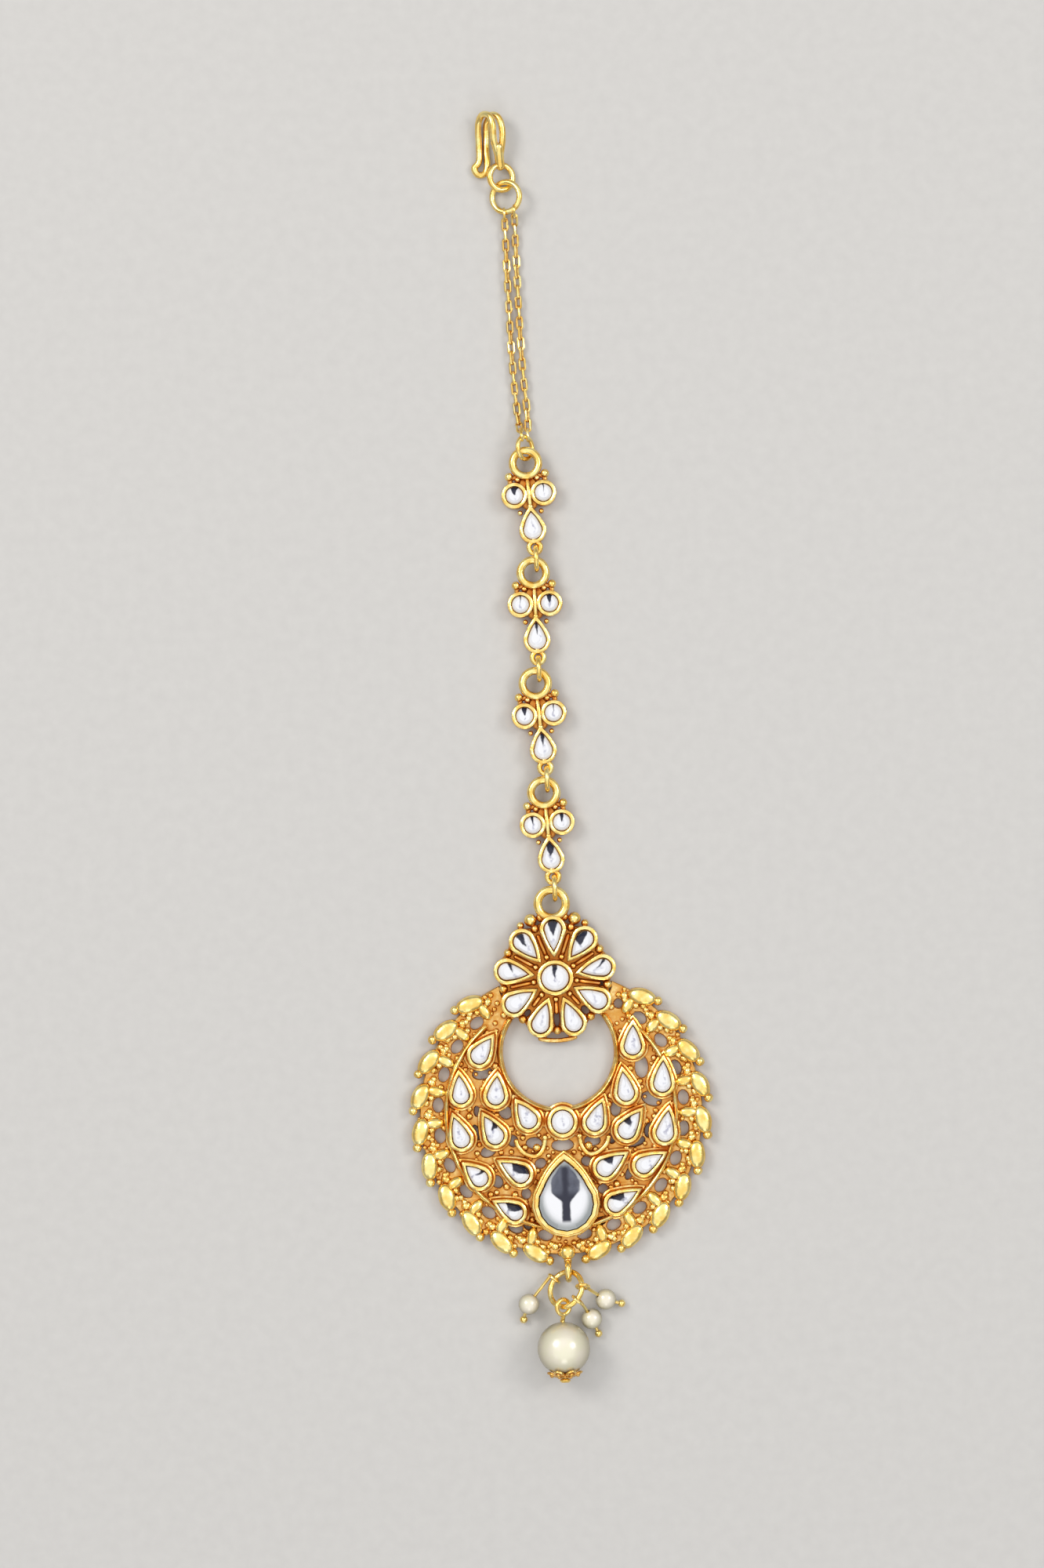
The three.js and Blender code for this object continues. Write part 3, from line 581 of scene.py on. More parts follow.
class Setting:
    """Where a stone sits: its outline's place, turn and size, and its heights."""

    def __init__(self, outline, centre, turn, length, width, girdle, table):
        self.outline = outline
        self.place = Matrix.Translation((centre.x, centre.y, 0)) @ Matrix.Rotation(turn, 4, "Z")
        self.length = length
        self.width = width
        self.girdle = girdle
        self.table = table

    def ring(self, height, grow=0.0, scale=1.0):
        """The stone's outline at a height, made larger all round or scaled."""
        points = self.outline(self.length, self.width, grow)
        return [self.place @ Vector((p.x * scale, p.y * scale, height)) for p in points]


def setting_of(node):
    """The setting of a CAD stone, read from its corners."""
    points = corners(node)
    top = max(point.z for point in points)
    flat = [Vector((point.x, point.y)) for point in points]
    low, high = (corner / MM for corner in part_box(node))
    centre = sum(flat, Vector((0, 0))) / len(flat)
    if node in ROUND_STONES:
        box_middle = (low + high) / 2
        size = high - low
        return Setting(oval_outline, box_middle, 0.0, size.y, size.x, top - STONE_GIRDLE, top)
    tip = max(flat, key=lambda point: (point - centre).length)
    pointing = (tip - centre).normalized()
    side = Vector((-pointing.y, pointing.x))
    reaches = [(point - centre).dot(pointing) for point in flat]
    spread = [(point - centre).dot(side) for point in flat]
    length = max(reaches) - min(reaches)
    width = max(spread) - min(spread)
    turn = math.atan2(-pointing.x, pointing.y)
    stone_middle = tip - pointing * length / 2
    return Setting(drop_outline, stone_middle, turn, length, width, top - STONE_GIRDLE, top)


def foiled_glass(name):
    """White foil seen through glass, with a grey streak and, on its upper side, a dark wedge, both
    painted reflections.
    """
    finish = Finish(name)

    def read(attribute):
        settings = {"attribute_name": attribute, "attribute_type": "GEOMETRY"}
        return finish.parts(finish.node("ShaderNodeAttribute", settings, output=1))

    across, along, _ = read("place")
    wedge, streak, _ = read("look")
    place = finish.node("ShaderNodeTexCoord", output=3)
    wobble = finish.grain(place, 0.9) - 0.5
    cloud = finish.grain(place, 0.6).step(0.4, 0.6)
    beside = along.math("ABSOLUTE", across + 0.3 * wobble)
    off_middle = along.math("ABSOLUTE", across + 0.9 * wobble - 0.06)
    narrow = 1 - off_middle.step(0.03, 0.2)
    middle_band = 1 - along.math("ABSOLUTE", along + 0.1).step(0.2, 0.6)
    streaked = finish.mix(narrow * middle_band * cloud * streak, STONE_WHITE, STONE_STREAK_REFLECTION)
    taper = wedge * (0.15 + 0.9 * along)
    upper = (along + 0.3 * wobble).step(-0.1, 0.1)
    # Painted dark reflection on the stone's upper side
    dark = upper * (taper - beside).step(-0.04, 0.07)
    return finish.surface({
        "Base Color": finish.mix(dark, streaked, STONE_DARK_REFLECTION),
        **STONE_GLOSS,
    })


stone_glass = foiled_glass("foil-backed glass")


def cut_stone(name, setting, nodes, wedge=0.0, streak=0.6, lean=0.0, glass=stone_glass):
    """A faceted stone in its setting. Its painted dark reflection, a wedge, is on the side that leans
    from +Y.
    """
    stone = Metalwork()
    height = setting.table - STONE_FACETS_HIGH
    waist = height + 0.55 * STONE_FACETS_HIGH
    rings = [
        setting.ring(setting.girdle - 0.55, scale=0.8),
        setting.ring(setting.girdle - 0.2, scale=0.98),
        setting.ring(height),
        setting.ring(waist, scale=0.86),
        setting.ring(setting.table, scale=STONE_TABLE),
    ]
    stone.loft(rings)
    made = stone.piece(name, glass, nodes, sharp=8)
    mesh = made.data
    spin = Matrix.Rotation(-math.radians(lean), 2)
    half = max(setting.width, setting.length) / 2
    centre = setting.place.translation
    place = mesh.attributes.new("place", "FLOAT_VECTOR", "POINT")
    for i, vertex in enumerate(mesh.vertices):
        off = Vector((vertex.co.x / MM - centre.x, vertex.co.y / MM - centre.y))
        off = spin @ off / half
        place.data[i].vector = (*off, 0)
    # The painted reflections: how dark its wedge and how grey its streak
    look = mesh.attributes.new("look", "FLOAT_VECTOR", "POINT")
    for point in look.data:
        point.vector = (wedge, streak, 0)


# ---- Links -------------------------------------------------------------------------------
# Four cast links, gold plated: a ring, two round stones side by side under a pair of shoulder
# balls, a drop stone below them and a pierced tab. Each stone is glued into its own collet.

LINK_RING_OUTER = 2.18            # ring's middle to the outside of its wire
LINK_RING_RADIUS = 1.64
LINK_WIRE = 0.5
LINK_LEVEL = 1.7                  # height of the ring's and the tab's middle
LINK_COLLET_TOP = 2.2
LINK_STONE_TOP = 2.48
LINK_COLLET_WALL = 0.5
LINK_STONE_GAP = 0.1
LINK_ROUND = {"x": 1.85, "y": -3.95, "across": 2.15}
LINK_DROP = {"y": -8.0, "length": 3.4, "width": 2.3}
LINK_TAB_END = 11.6
LINK_TAB_HOLE = {"y": -10.75, "radius": 0.75, "wire": 0.33}
LINK_TAB_NEAR = 0.4               # CAD corners this near the tab's end give its middle
LINK_GIRDLE_DOWN = 0.35           # from the collets' top to the stones' girdle
COLLET_FOOT = 0.3                 # a collet's wall starts this high, inside the metal below
LINK_CUP = ((0, 0.35), (0.12, 0.45), (1.0, 0.45))   # under a stone: height and distance out
LINK_BODY = {"y": -3.7, "length": 4.6, "width": 2.9}
LINK_BODY_LEVELS = ((0.2, 1.0), (1.15, 1.0), (1.35, 0.88))   # height and share of its size
LINK_BAR = ((0, -2.0, 1.35), (0, -3.2, 1.75), (0, -4.6, 1.75), (0, -5.9, 1.5))
LINK_BAR_WIRE = 0.36
LINK_ARM = ((0.9, -1.6, 1.3), (2.1, -1.8, 1.25), (2.2, -2.9, 1.2))
LINK_ARM_WIRE = 0.34

# Balls, place from the ring's middle and radius
LINK_BAR_BALL = ((0, -5.55, 1.75), 0.42)
LINK_TAB_BALL = ((0, -9.85, 1.5), 0.5)
LINK_SHOULDER_BALLS = (((2.3, -1.5, 1.6), 0.55), ((1.25, -1.95, 1.45), 0.42))
LINK_LOW_BALL = ((1.35, -6.2, 1.3), 0.34)

# How dark the painted reflection is on the upper side of each link's left round, right round and drop
# stone
LINK_WEDGES = ((0.5, 0.1, 0.0), (0.1, 0.35, 0.15), (0.35, 0.1, 0.2), (0.2, 0.3, 0.45))

link_gold = gold_plate("cast gold of the links", recess_size=1.0, floor=0.9, top=2.0)


def link_place(node):
    """Where a link lies: its ring's middle and its turn about the vertical, from the CAD link."""
    points = corners(node)
    top = max(point.y for point in points)
    end = min(point.y for point in points)
    ring = [point.x for point in points if point.y > top - LINK_RING_OUTER]
    tab = [point.x for point in points if point.y < end + LINK_TAB_NEAR]
    ring_middle = Vector(((min(ring) + max(ring)) / 2, top - LINK_RING_OUTER, 0))
    tab_middle = (min(tab) + max(tab)) / 2
    return ring_middle, math.asin((tab_middle - ring_middle.x) / LINK_TAB_END)


def make_link(number):
    node = f"link_{number}"
    ring_middle, turn = link_place(node)
    place = Matrix.Translation(ring_middle) @ Matrix.Rotation(turn, 4, "Z")

    def at(x, y, z):
        return place @ Vector((x, y, z))

    def setting(outline, x, y, length, width):
        centre = at(x, y, 0)
        girdle = LINK_COLLET_TOP - LINK_GIRDLE_DOWN
        return Setting(outline, centre, turn, length, width, girdle, LINK_STONE_TOP)

    def add_ball(ball, side=1):
        (x, y, z), radius = ball
        link.ball(at(side * x, y, z), radius)

    link = Metalwork()
    ring_line = circle_line(at(0, 0, LINK_LEVEL), ACROSS, ALONG, LINK_RING_RADIUS, 40)
    link.wire(ring_line, LINK_WIRE, closed=True, sides=14)
    across = LINK_ROUND["across"]
    settings = [
        setting(oval_outline, -LINK_ROUND["x"], LINK_ROUND["y"], across, across),
        setting(oval_outline, LINK_ROUND["x"], LINK_ROUND["y"], across, across),
        setting(drop_outline, 0, LINK_DROP["y"], LINK_DROP["length"], LINK_DROP["width"]),
    ]
    for each in settings:
        link.collet(each, COLLET_FOOT, LINK_COLLET_TOP, LINK_COLLET_WALL, LINK_STONE_GAP)
        link.loft([each.ring(height, out) for height, out in LINK_CUP])
    body = setting(oval_outline, 0, LINK_BODY["y"], LINK_BODY["length"], LINK_BODY["width"])
    link.loft([body.ring(height, scale=share) for height, share in LINK_BODY_LEVELS])
    link.wire(smooth_line([at(*point) for point in LINK_BAR], 5), LINK_BAR_WIRE, flat=1.2)
    add_ball(LINK_BAR_BALL)
    for side in (-1, 1):
        for ball in LINK_SHOULDER_BALLS:
            add_ball(ball, side)
        arm = [at(side * x, y, z) for x, y, z in LINK_ARM]
        link.wire(smooth_line(arm, 5), LINK_ARM_WIRE)
        add_ball(LINK_LOW_BALL, side)
    hole = LINK_TAB_HOLE
    tab_line = circle_line(at(0, hole["y"], LINK_LEVEL), ACROSS, ALONG, hole["radius"], 28)
    link.wire(tab_line, hole["wire"], closed=True)
    add_ball(LINK_TAB_BALL)
    link.knead(amount=0.02, size=1.3)
    link.piece(f"link_{number}_setting", link_gold, [node], sharp=40)
    for name, each, wedge in zip(("left", "right", "drop"), settings, LINK_WEDGES[number - 1]):
        cut_stone(f"link_{number}_{name}_stone", each, [node], wedge, streak=0.7)


for number in range(1, 5):
    make_link(number)


# ---- Flower ------------------------------------------------------------------------------
# The top of the pendant: a cast flower of nine drop stones round a round one, their points
# to the middle, on a scalloped plate slotted between the lower petals. Its bail is cast on.

flower = middle("flower_stone")
FLOWER_MIDDLE = Vector((flower.x, flower.y, 0))
FLOWER_RADIUS = 7.5
FLOWER_SCALLOP = 0.75
FLOWER_PLATE = 0.9
FLOWER_PETALS = 9
FLOWER_COLLET_TOP = 2.8
FLOWER_COLLET_WALL = 0.5
FLOWER_STONE_GAP = 0.16
BAIL_RADIUS = 1.78
BAIL_WIRE = 0.55
BAIL_MIDDLE = (0, 9.4, 1.7)
FLOWER_COLLET_FOOT = 0.5
PETAL_COLLET_DOWN = 0.15          # how far the petals' collets are below the middle one
FLOWER_BALLS = ((2.75, 1.7, 0.42), (6.7, 1.35, 0.58))   # between petals: way out, height, radius
FLOWER_RIB = ((3.1, 1.2), (4.4, 1.5), (5.6, 1.35))      # way out and height of its points
FLOWER_RIB_WIRE = 0.3
SHORT_RIBS = (130, 230)           # ribs between these angles from the top stop at the slots
SHOULDER_BALLS = (((2.8, 7.4, 1.45), 0.85), ((4.1, 6.75, 1.3), 0.5), ((1.5, 7.7, 1.3), 0.6))
LIP_OUT = 8.05                    # a wire lip below the lowest petals, on two stays
LIP_LEVEL = 0.95
LIP_WIRE = 0.3
LIP_TURNS = range(-16, 17, 2)     # degrees from straight down
STAY_REACH = (7.3, 8.0)
STAY_LEVEL = 0.7
STAY_WIRE = 0.25

# Slots between petals: angle from the top, distance out, length and width
FLOWER_SLOTS = ((180, 5.25, 2.2, 0.7), (140, 5.7, 1.2, 0.8), (220, 5.8, 1.0, 0.6), (100, 5.8, 1.0, 0.6))
# How dark the painted reflection is on each petal's upper side, and how far that side leans
PETAL_WEDGES = (0.42, 0.75, 0.15, 0.0, 0.0, 0.0, 0.0, 0.2, 0.3)
PETAL_LEANS = (0, 10, -40, 0, 0, 0, 0, 20, 30)

flower_gold = gold_plate("cast gold of the flower", recess_size=1.2, floor=0.5, top=2.1)


def from_flower(x, y, z):
    """A place given from the flower's middle."""
    return FLOWER_MIDDLE + Vector((x, y, z))


def round_flower(angle, out, height):
    """A place round the flower, at an angle clockwise from its top."""
    return from_flower(out * math.sin(angle), out * math.cos(angle), height)


def add_balls(work, balls, side):
    """Balls at places from the flower's middle, on its right side or mirrored to its left."""
    for (x, y, z), radius in balls:
        work.ball(from_flower(side * x, y, z), radius)


def turned_oval(centre, length, width, turn, count=16):
    """An oval hole in a plate, its length turned from +Y."""
    spin = Matrix.Rotation(turn, 2)
    return [centre + spin @ p for p in oval_outline(length, width, 0.0, count)]


petal_settings = [setting_of(f"petal_stone_{i}") for i in range(1, FLOWER_PETALS + 1)]
flower_setting = setting_of("flower_stone")
flower_metal = Metalwork()
scallops = []
for i in range(FLOWER_PETALS * 10):
    a = 2 * math.pi * i / (FLOWER_PETALS * 10)
    reach = FLOWER_RADIUS - FLOWER_SCALLOP * (1 - abs(math.cos(FLOWER_PETALS * a / 2)))
    x = FLOWER_MIDDLE.x - reach * math.sin(a)
    scallops.append(Vector((x, FLOWER_MIDDLE.y + reach * math.cos(a))))
slots = []
for degrees, out, length, width in FLOWER_SLOTS:
    a = math.radians(degrees)
    centre = Vector((FLOWER_MIDDLE.x + out * math.sin(a), FLOWER_MIDDLE.y + out * math.cos(a)))
    slots.append(turned_oval(centre, length, width, -a))
flower_metal.plate(scallops, slots, 0, FLOWER_PLATE)
for each in petal_settings:
    top = FLOWER_COLLET_TOP - PETAL_COLLET_DOWN
    flower_metal.collet(each, FLOWER_COLLET_FOOT, top, FLOWER_COLLET_WALL, FLOWER_STONE_GAP)
top = FLOWER_COLLET_TOP
flower_metal.collet(flower_setting, FLOWER_COLLET_FOOT, top, FLOWER_COLLET_WALL, FLOWER_STONE_GAP)
for i in range(FLOWER_PETALS):
    a = 2 * math.pi * (i + 0.5) / FLOWER_PETALS
    for out, height, radius in FLOWER_BALLS:
        flower_metal.ball(round_flower(a, out, height), radius)
    rib = [round_flower(a, out, height) for out, height in FLOWER_RIB]
    if SHORT_RIBS[0] < math.degrees(a) < SHORT_RIBS[1]:
        rib = rib[:2]
    flower_metal.wire(smooth_line(rib, 4), FLOWER_RIB_WIRE)
bail_line = circle_line(from_flower(*BAIL_MIDDLE), ACROSS, ALONG, BAIL_RADIUS, 44)
flower_metal.wire(bail_line, BAIL_WIRE, closed=True, sides=14)
for side in (-1, 1):
    add_balls(flower_metal, SHOULDER_BALLS, side)
lip_turns = [math.radians(180 + degrees) for degrees in LIP_TURNS]
flower_metal.wire([round_flower(a, LIP_OUT, LIP_LEVEL) for a in lip_turns], LIP_WIRE)
for a in (lip_turns[2], lip_turns[-3]):
    flower_metal.wire([round_flower(a, out, STAY_LEVEL) for out in STAY_REACH], STAY_WIRE)
flower_metal.knead(amount=0.02, size=1.3)
flower_metal.piece("flower_setting", flower_gold, ["pendant_setting"], sharp=40)
cut_stone("flower_middle_stone", flower_setting, ["flower_stone"], wedge=0.25, streak=0.8)
for i, each in enumerate(petal_settings):
    node = f"petal_stone_{i + 1}"
    cut_stone(f"{node}_cut", each, [node], PETAL_WEDGES[i], streak=0.5, lean=PETAL_LEANS[i])


# ---- Crescent ----------------------------------------------------------------------------
# The openwork below the flower: a cast plate pierced by gaps, with collets for nineteen stones
# and a large drop, granules strewn between them, and wires soldered along the round window
# and inside the row of leaves.

CRESCENT_CENTRE = (0, -17.3)
CRESCENT_RADIUS = 18.0
CRESCENT_PLATE = 0.9
CRESCENT_COLLET_TOP = 2.3
CRESCENT_COLLET_WALL = 0.5
CRESCENT_STONE_GAP = 0.12
CENTRE_COLLET_TOP = 3.1
WINDOW_CENTRE = (0, -9.5)
WINDOW_RADIUS = 7.1
HORN_END = 7.2                    # the horns end under the flower, this far from its middle
CENTRE_COLLET_WALL = 0.55
COLLET_WIRE = (1.15, 0.8, 0.26)   # the wire round a collet: height, way out and radius
CENTRE_COLLET_WIRE = (2.2, 0.72, 0.3)
WINDOW_RIM_OUT = 0.35             # from the window's edge to the middle of its wire
WINDOW_RIM_LEVEL = 0.85
WINDOW_RIM_WIRE = 0.4
WINDOW_RIM_SHORT = 0.1            # how far the wire stops before the horns' ends, in radians
EDGE_WIRE_ORBIT = 14.6
EDGE_WIRE_LEVEL = 1.25
EDGE_WIRE_RADIUS = 0.34
EDGE_WIRE_TURNS = range(12, 142, 3)   # degrees from straight down
FLOWER_CLEAR = 7.9                # wires and granules keep this far from the flower's middle

CRESCENT_STONES = (
    [f"window_stone_{i}" for i in range(1, 8)]
    + [f"middle_stone_{i}" for i in range(1, 7)]
    + [f"lower_stone_{i}" for i in range(1, 5)]
    + ["foot_stone_1", "foot_stone_2"]
)
# How dark the painted reflection is on a stone's upper side, and how far that side leans clockwise from
# +Y
DARK_REFLECTION_STONES = {
    "middle_stone_3": (0.4, -30),
    "middle_stone_4": (0.6, 30),
    "lower_stone_1": (0.2, -60),
    "lower_stone_2": (1.4, -45),
    "lower_stone_3": (0.7, 15),
    "foot_stone_1": (1.4, -35),
    "foot_stone_2": (0.9, 35),
}

# Gaps of the openwork: place from the flower's middle, width, height and turn in degrees
CRESCENT_GAPS = (
    ((7.9, -3.7), 1.1, 1.2, 0),
    ((-9.8, -11.8), 2.5, 1.5, 10),
    ((10.5, -11.9), 1.7, 2.8, 0),
    ((-10.7, -16.6), 0.7, 1.3, 0),
    ((-7.1, -16.9), 1.5, 1.8, 30),
    ((7.0, -17.0), 1.3, 2.0, -10),
    ((11.6, -16.0), 2.6, 1.7, -25),
    ((-10.9, -19.3), 0.7, 1.9, 15),
    ((11.1, -20.0), 1.1, 1.8, -10),
    ((-9.5, -21.8), 2.0, 1.3, 20),
    ((9.2, -21.3), 2.6, 1.3, 10),
    ((-6.3, -20.6), 1.2, 1.5, 0),
    ((6.3, -20.8), 0.9, 1.3, 0),
    ((-3.6, -21.0), 2.0, 1.4, 0),
    ((3.8, -21.0), 2.0, 1.3, 0),
    ((0.0, -21.4), 2.8, 1.5, 0),
    ((-2.9, -23.6), 1.4, 1.2, 30),
    ((3.0, -23.6), 1.4, 1.2, -30),
    ((-8.5, -25.7), 1.3, 1.6, 20),
    ((8.4, -25.3), 0.9, 1.9, -30),
    ((-4.9, -27.4), 1.2, 1.3, 0),
    ((4.9, -27.2), 1.2, 1.2, 0),
    ((-4.6, -31.6), 1.7, 0.9, -25),
    ((4.4, -31.3), 1.4, 0.9, 25),
)
RIM_GAP_ORBIT = 15.7
RIM_GAP_FIRST = {-1: 9.8, 1: 8.3}  # degrees from straight down, on the left and the right
RIM_GAP_STEP = 14.4
RIM_GAP_COUNT = 10
RIM_GAP_WIDTH = 1.35
RIM_GAP_LENGTH = 1.9

crescent_gold = gold_plate("cast gold of the crescent", recess_size=1.2, floor=0.6, top=2.1)


def around_crescent(orbit, degrees, side, height):
    """A point round the crescent, at an angle from straight down towards one side."""
    a = math.radians(degrees)
    x = CRESCENT_CENTRE[0] + side * orbit * math.sin(a)
    return from_flower(x, CRESCENT_CENTRE[1] - orbit * math.cos(a), height)


def clear_of_flower(point):
    return (point.xy - FLOWER_MIDDLE.xy).length > FLOWER_CLEAR


def arc(centre, radius, start, end, steps):
    """Points along an arc about a place from the flower's middle, between two angles from +X."""
    turns = [start + (end - start) * i / steps for i in range(steps + 1)]
    place = FLOWER_MIDDLE.xy + Vector(centre)
    return [place + radius * Vector((math.cos(a), math.sin(a))) for a in turns]


def crossing(centre, radius):
    """Where a circle meets the horns' end: the angle from +X about its centre and the flower's."""
    down = -centre[1]
    y = (radius ** 2 - HORN_END ** 2 - down ** 2) / (2 * down)
    x = math.sqrt(HORN_END ** 2 - y ** 2)
    return math.atan2(y + down, x), math.atan2(y, x)


crescent = Metalwork()
outer_turn, outer_end = crossing(CRESCENT_CENTRE, CRESCENT_RADIUS)
window_turn, window_end = crossing(WINDOW_CENTRE, WINDOW_RADIUS)
full = 2 * math.pi
horns = arc(CRESCENT_CENTRE, CRESCENT_RADIUS, outer_turn, -math.pi - outer_turn, 150)
horns += arc((0, 0), HORN_END, -math.pi - outer_end, -math.pi - window_end, 6)[1:-1]
horns += arc(WINDOW_CENTRE, WINDOW_RADIUS, math.pi - window_turn, full + window_turn, 80)
horns += arc((0, 0), HORN_END, window_end, outer_end, 6)[1:-1]
gaps = []
for (x, y), width, height, degrees in CRESCENT_GAPS:
    centre = FLOWER_MIDDLE.xy + Vector((x, y))
    gaps.append(turned_oval(centre, height, width, math.radians(degrees)))
for side in (-1, 1):
    for i in range(RIM_GAP_COUNT):
        degrees = RIM_GAP_FIRST[side] + RIM_GAP_STEP * i
        centre = around_crescent(RIM_GAP_ORBIT, degrees, side, 0).xy
        gaps.append(turned_oval(centre, RIM_GAP_WIDTH, RIM_GAP_LENGTH, math.radians(side * degrees)))
crescent.plate(horns, gaps, 0, CRESCENT_PLATE)

stone_settings = {node: setting_of(node) for node in CRESCENT_STONES}
centre_setting = setting_of("centre_stone")
for each in stone_settings.values():
    crescent.collet(each, COLLET_FOOT, CRESCENT_COLLET_TOP, CRESCENT_COLLET_WALL, CRESCENT_STONE_GAP)
    height, out, radius = COLLET_WIRE
    crescent.wire(each.ring(height, out), radius, closed=True, sides=8)
crescent.collet(centre_setting, COLLET_FOOT, CENTRE_COLLET_TOP, CENTRE_COLLET_WALL, CRESCENT_STONE_GAP)
height, out, radius = CENTRE_COLLET_WIRE
crescent.wire(centre_setting.ring(height, out), radius, closed=True, sides=10)
rim_start = math.pi - window_turn + WINDOW_RIM_SHORT
rim_end = full + window_turn - WINDOW_RIM_SHORT
window_rim = arc(WINDOW_CENTRE, WINDOW_RADIUS + WINDOW_RIM_OUT, rim_start, rim_end, 90)
window_rim = [Vector((p.x, p.y, WINDOW_RIM_LEVEL)) for p in window_rim]
crescent.wire([p for p in window_rim if clear_of_flower(p)], WINDOW_RIM_WIRE, flat=1.9)
for side in (-1, 1):
    line = [around_crescent(EDGE_WIRE_ORBIT, turn, side, EDGE_WIRE_LEVEL) for turn in EDGE_WIRE_TURNS]
    crescent.wire([point for point in line if clear_of_flower(point)], EDGE_WIRE_RADIUS, flat=1.5)

# Granules strewn over the openwork, wherever there's room between the collets and the gaps
GRANULE_TRIES = 2600
GRANULE_SIZES = (0.28, 0.52)
GRANULE_LEVEL = 0.95
GRANULE_FROM_WALL = 0.75          # least way to a collet or a gap's edge, in its own radii
GRANULE_FROM_GAP = 0.7            # least way to the middle of a gap, and of a stone
GRANULE_FROM_STONE = 1.3
GRANULE_FROM_WINDOW = 1.1
GRANULE_TOUCH = 0.9               # how near two may lie, as a share of their radii together
WALL_OUT = 0.6                    # from a stone to where its collet counts as reached
CENTRE_WALL_OUT = 0.8
walls = [p.xy for each in stone_settings.values() for p in each.ring(0, WALL_OUT)]
walls += [p.xy for p in centre_setting.ring(0, CENTRE_WALL_OUT)]
walls += [p for gap in gaps for p in gap]
walls = np.array(walls)
gap_middles = np.array([sum(gap, Vector((0, 0))) / len(gap) for gap in gaps])
all_settings = [*stone_settings.values(), centre_setting]
stone_middles = np.array([each.place.translation.xy for each in all_settings])
window_middle = FLOWER_MIDDLE.xy + Vector(WINDOW_CENTRE)
strewn = []
granules = random.Random(4)
for _ in range(GRANULE_TRIES):
    orbit = CRESCENT_RADIUS * math.sqrt(granules.random())
    degrees = granules.uniform(-180, 180)
    size = granules.uniform(*GRANULE_SIZES)
    place = around_crescent(orbit, degrees, 1, GRANULE_LEVEL)
    spot = np.array(place.xy)

    def nearest(points):
        return float(np.hypot(*(points - spot).T).min())

    if (place.xy - window_middle).length < WINDOW_RADIUS + GRANULE_FROM_WINDOW:
        continue
    if not clear_of_flower(place) or nearest(walls) < GRANULE_FROM_WALL * size:
        continue
    if nearest(gap_middles) < GRANULE_FROM_GAP or nearest(stone_middles) < GRANULE_FROM_STONE:
        continue
    if all((place - other).length > GRANULE_TOUCH * (size + radius) for other, radius in strewn):
        strewn.append((place, size))
        crescent.ball(place, size)

# Two scrolls of wire over the large drop, each with a ball in its bend and one at its end
SCROLL = ((2.2, -20.5), (2.5, -21.7), (3.4, -22.6), (4.7, -22.3), (5.6, -21.4), (5.9, -20.6))
SCROLL_LEVEL = 1.45
SCROLL_WIRE = 0.32
SCROLL_BALLS = (((3.3, -21.5, 1.5), 0.5), ((2.2, -20.3, 1.5), 0.42))
for side in (-1, 1):
    line = [from_flower(side * x, y, SCROLL_LEVEL) for x, y in SCROLL]
    crescent.wire(smooth_line(line, 6), SCROLL_WIRE)
    add_balls(crescent, SCROLL_BALLS, side)
crescent.knead(amount=0.03, size=1.3)
crescent.piece("crescent_setting", crescent_gold, ["pendant_setting"], sharp=40)
for node, each in stone_settings.items():
    wedge, lean = DARK_REFLECTION_STONES.get(node, (0.0, 0))
    cut_stone(f"{node}_cut", each, [node], wedge, streak=0.75, lean=lean)


# Painted reflections on the large drop: a silver-grey rim and a slate cap
STONE_RIM_REFLECTION = (0.30, 0.32, 0.32, 1)
STONE_CAP_REFLECTION = (0.13, 0.14, 0.18, 1)


def large_drop_glass(name):
    """The large drop's foil: painted reflections of a silver edge and of a dark cap over a black stem,
    between two white lobes.
    """
    finish = Finish(name)
    settings = {"attribute_name": "place", "attribute_type": "GEOMETRY"}
    across, along, _ = finish.parts(finish.node("ShaderNodeAttribute", settings, output=1))
    wobble = finish.grain(finish.node("ShaderNodeTexCoord", output=3), 1.2) - 0.5
    beside = along.math("ABSOLUTE", across + 0.1 * wobble)
    half_width = 0.13 + 0.30 * along.step(-0.22, 0.2) * (1 - along.step(0.35, 1.0))
    ends = along.step(-0.8, -0.68) * (1 - along.step(0.8, 0.95))
    figure = (half_width - beside).step(-0.02, 0.05) * ends
    cap = along.step(-0.05, 0.25) * beside.step(0.02, 0.16)
    cap_reflected = finish.mix(cap * (0.6 + wobble), STONE_DARK_REFLECTION, STONE_CAP_REFLECTION)
    edge = along.math("SQRT", across * across * 1.55 + along * along).step(0.66, 0.95)
    # Painted silver-grey reflection round the edge and over the upper half
    silver = edge + 0.6 * along.step(0.0, 0.5)
    rim_reflected = finish.mix(silver, STONE_WHITE, STONE_RIM_REFLECTION)
    return finish.surface({
        "Base Color": finish.mix(figure, rim_reflected, cap_reflected),
        **STONE_GLOSS,
    })


drop_glass = large_drop_glass("large foil-backed drop")
cut_stone("centre_stone_cut", centre_setting, ["centre_stone"], glass=drop_glass)


# ---- Leaves ------------------------------------------------------------------------------
# A row of small cast leaves slants round the crescent's outer edge. Each has a long outer lobe,
# two lobes inside it, a ball at its tip and three granules. They get the least painted shade of
# all, so they are the brightest and smoothest.

LEAF_COUNT = 10                   # on each side
LEAF_FIRST = 7.0                  # degrees from straight down to the first tip
LEAF_STEP = 14.4
LOBE_FOOT = 0.15                  # height of a lobe's underside
LOBE_DOME = 0.65                  # how much of a lobe's height is rounded

# A leaf's lobes, the outer one first: its two ends, each an orbit round the crescent and how
# many degrees further up than the tip it is, then its width and its top
LEAF_LOBES = (
    ((17.5, 11.7), (18.75, 0.6), 2.2, 2.0),
    ((17.5, 8.9), (14.9, 8.9), 1.55, 1.75),
    ((17.3, 14.4), (16.6, 10.2), 1.2, 1.5),
)
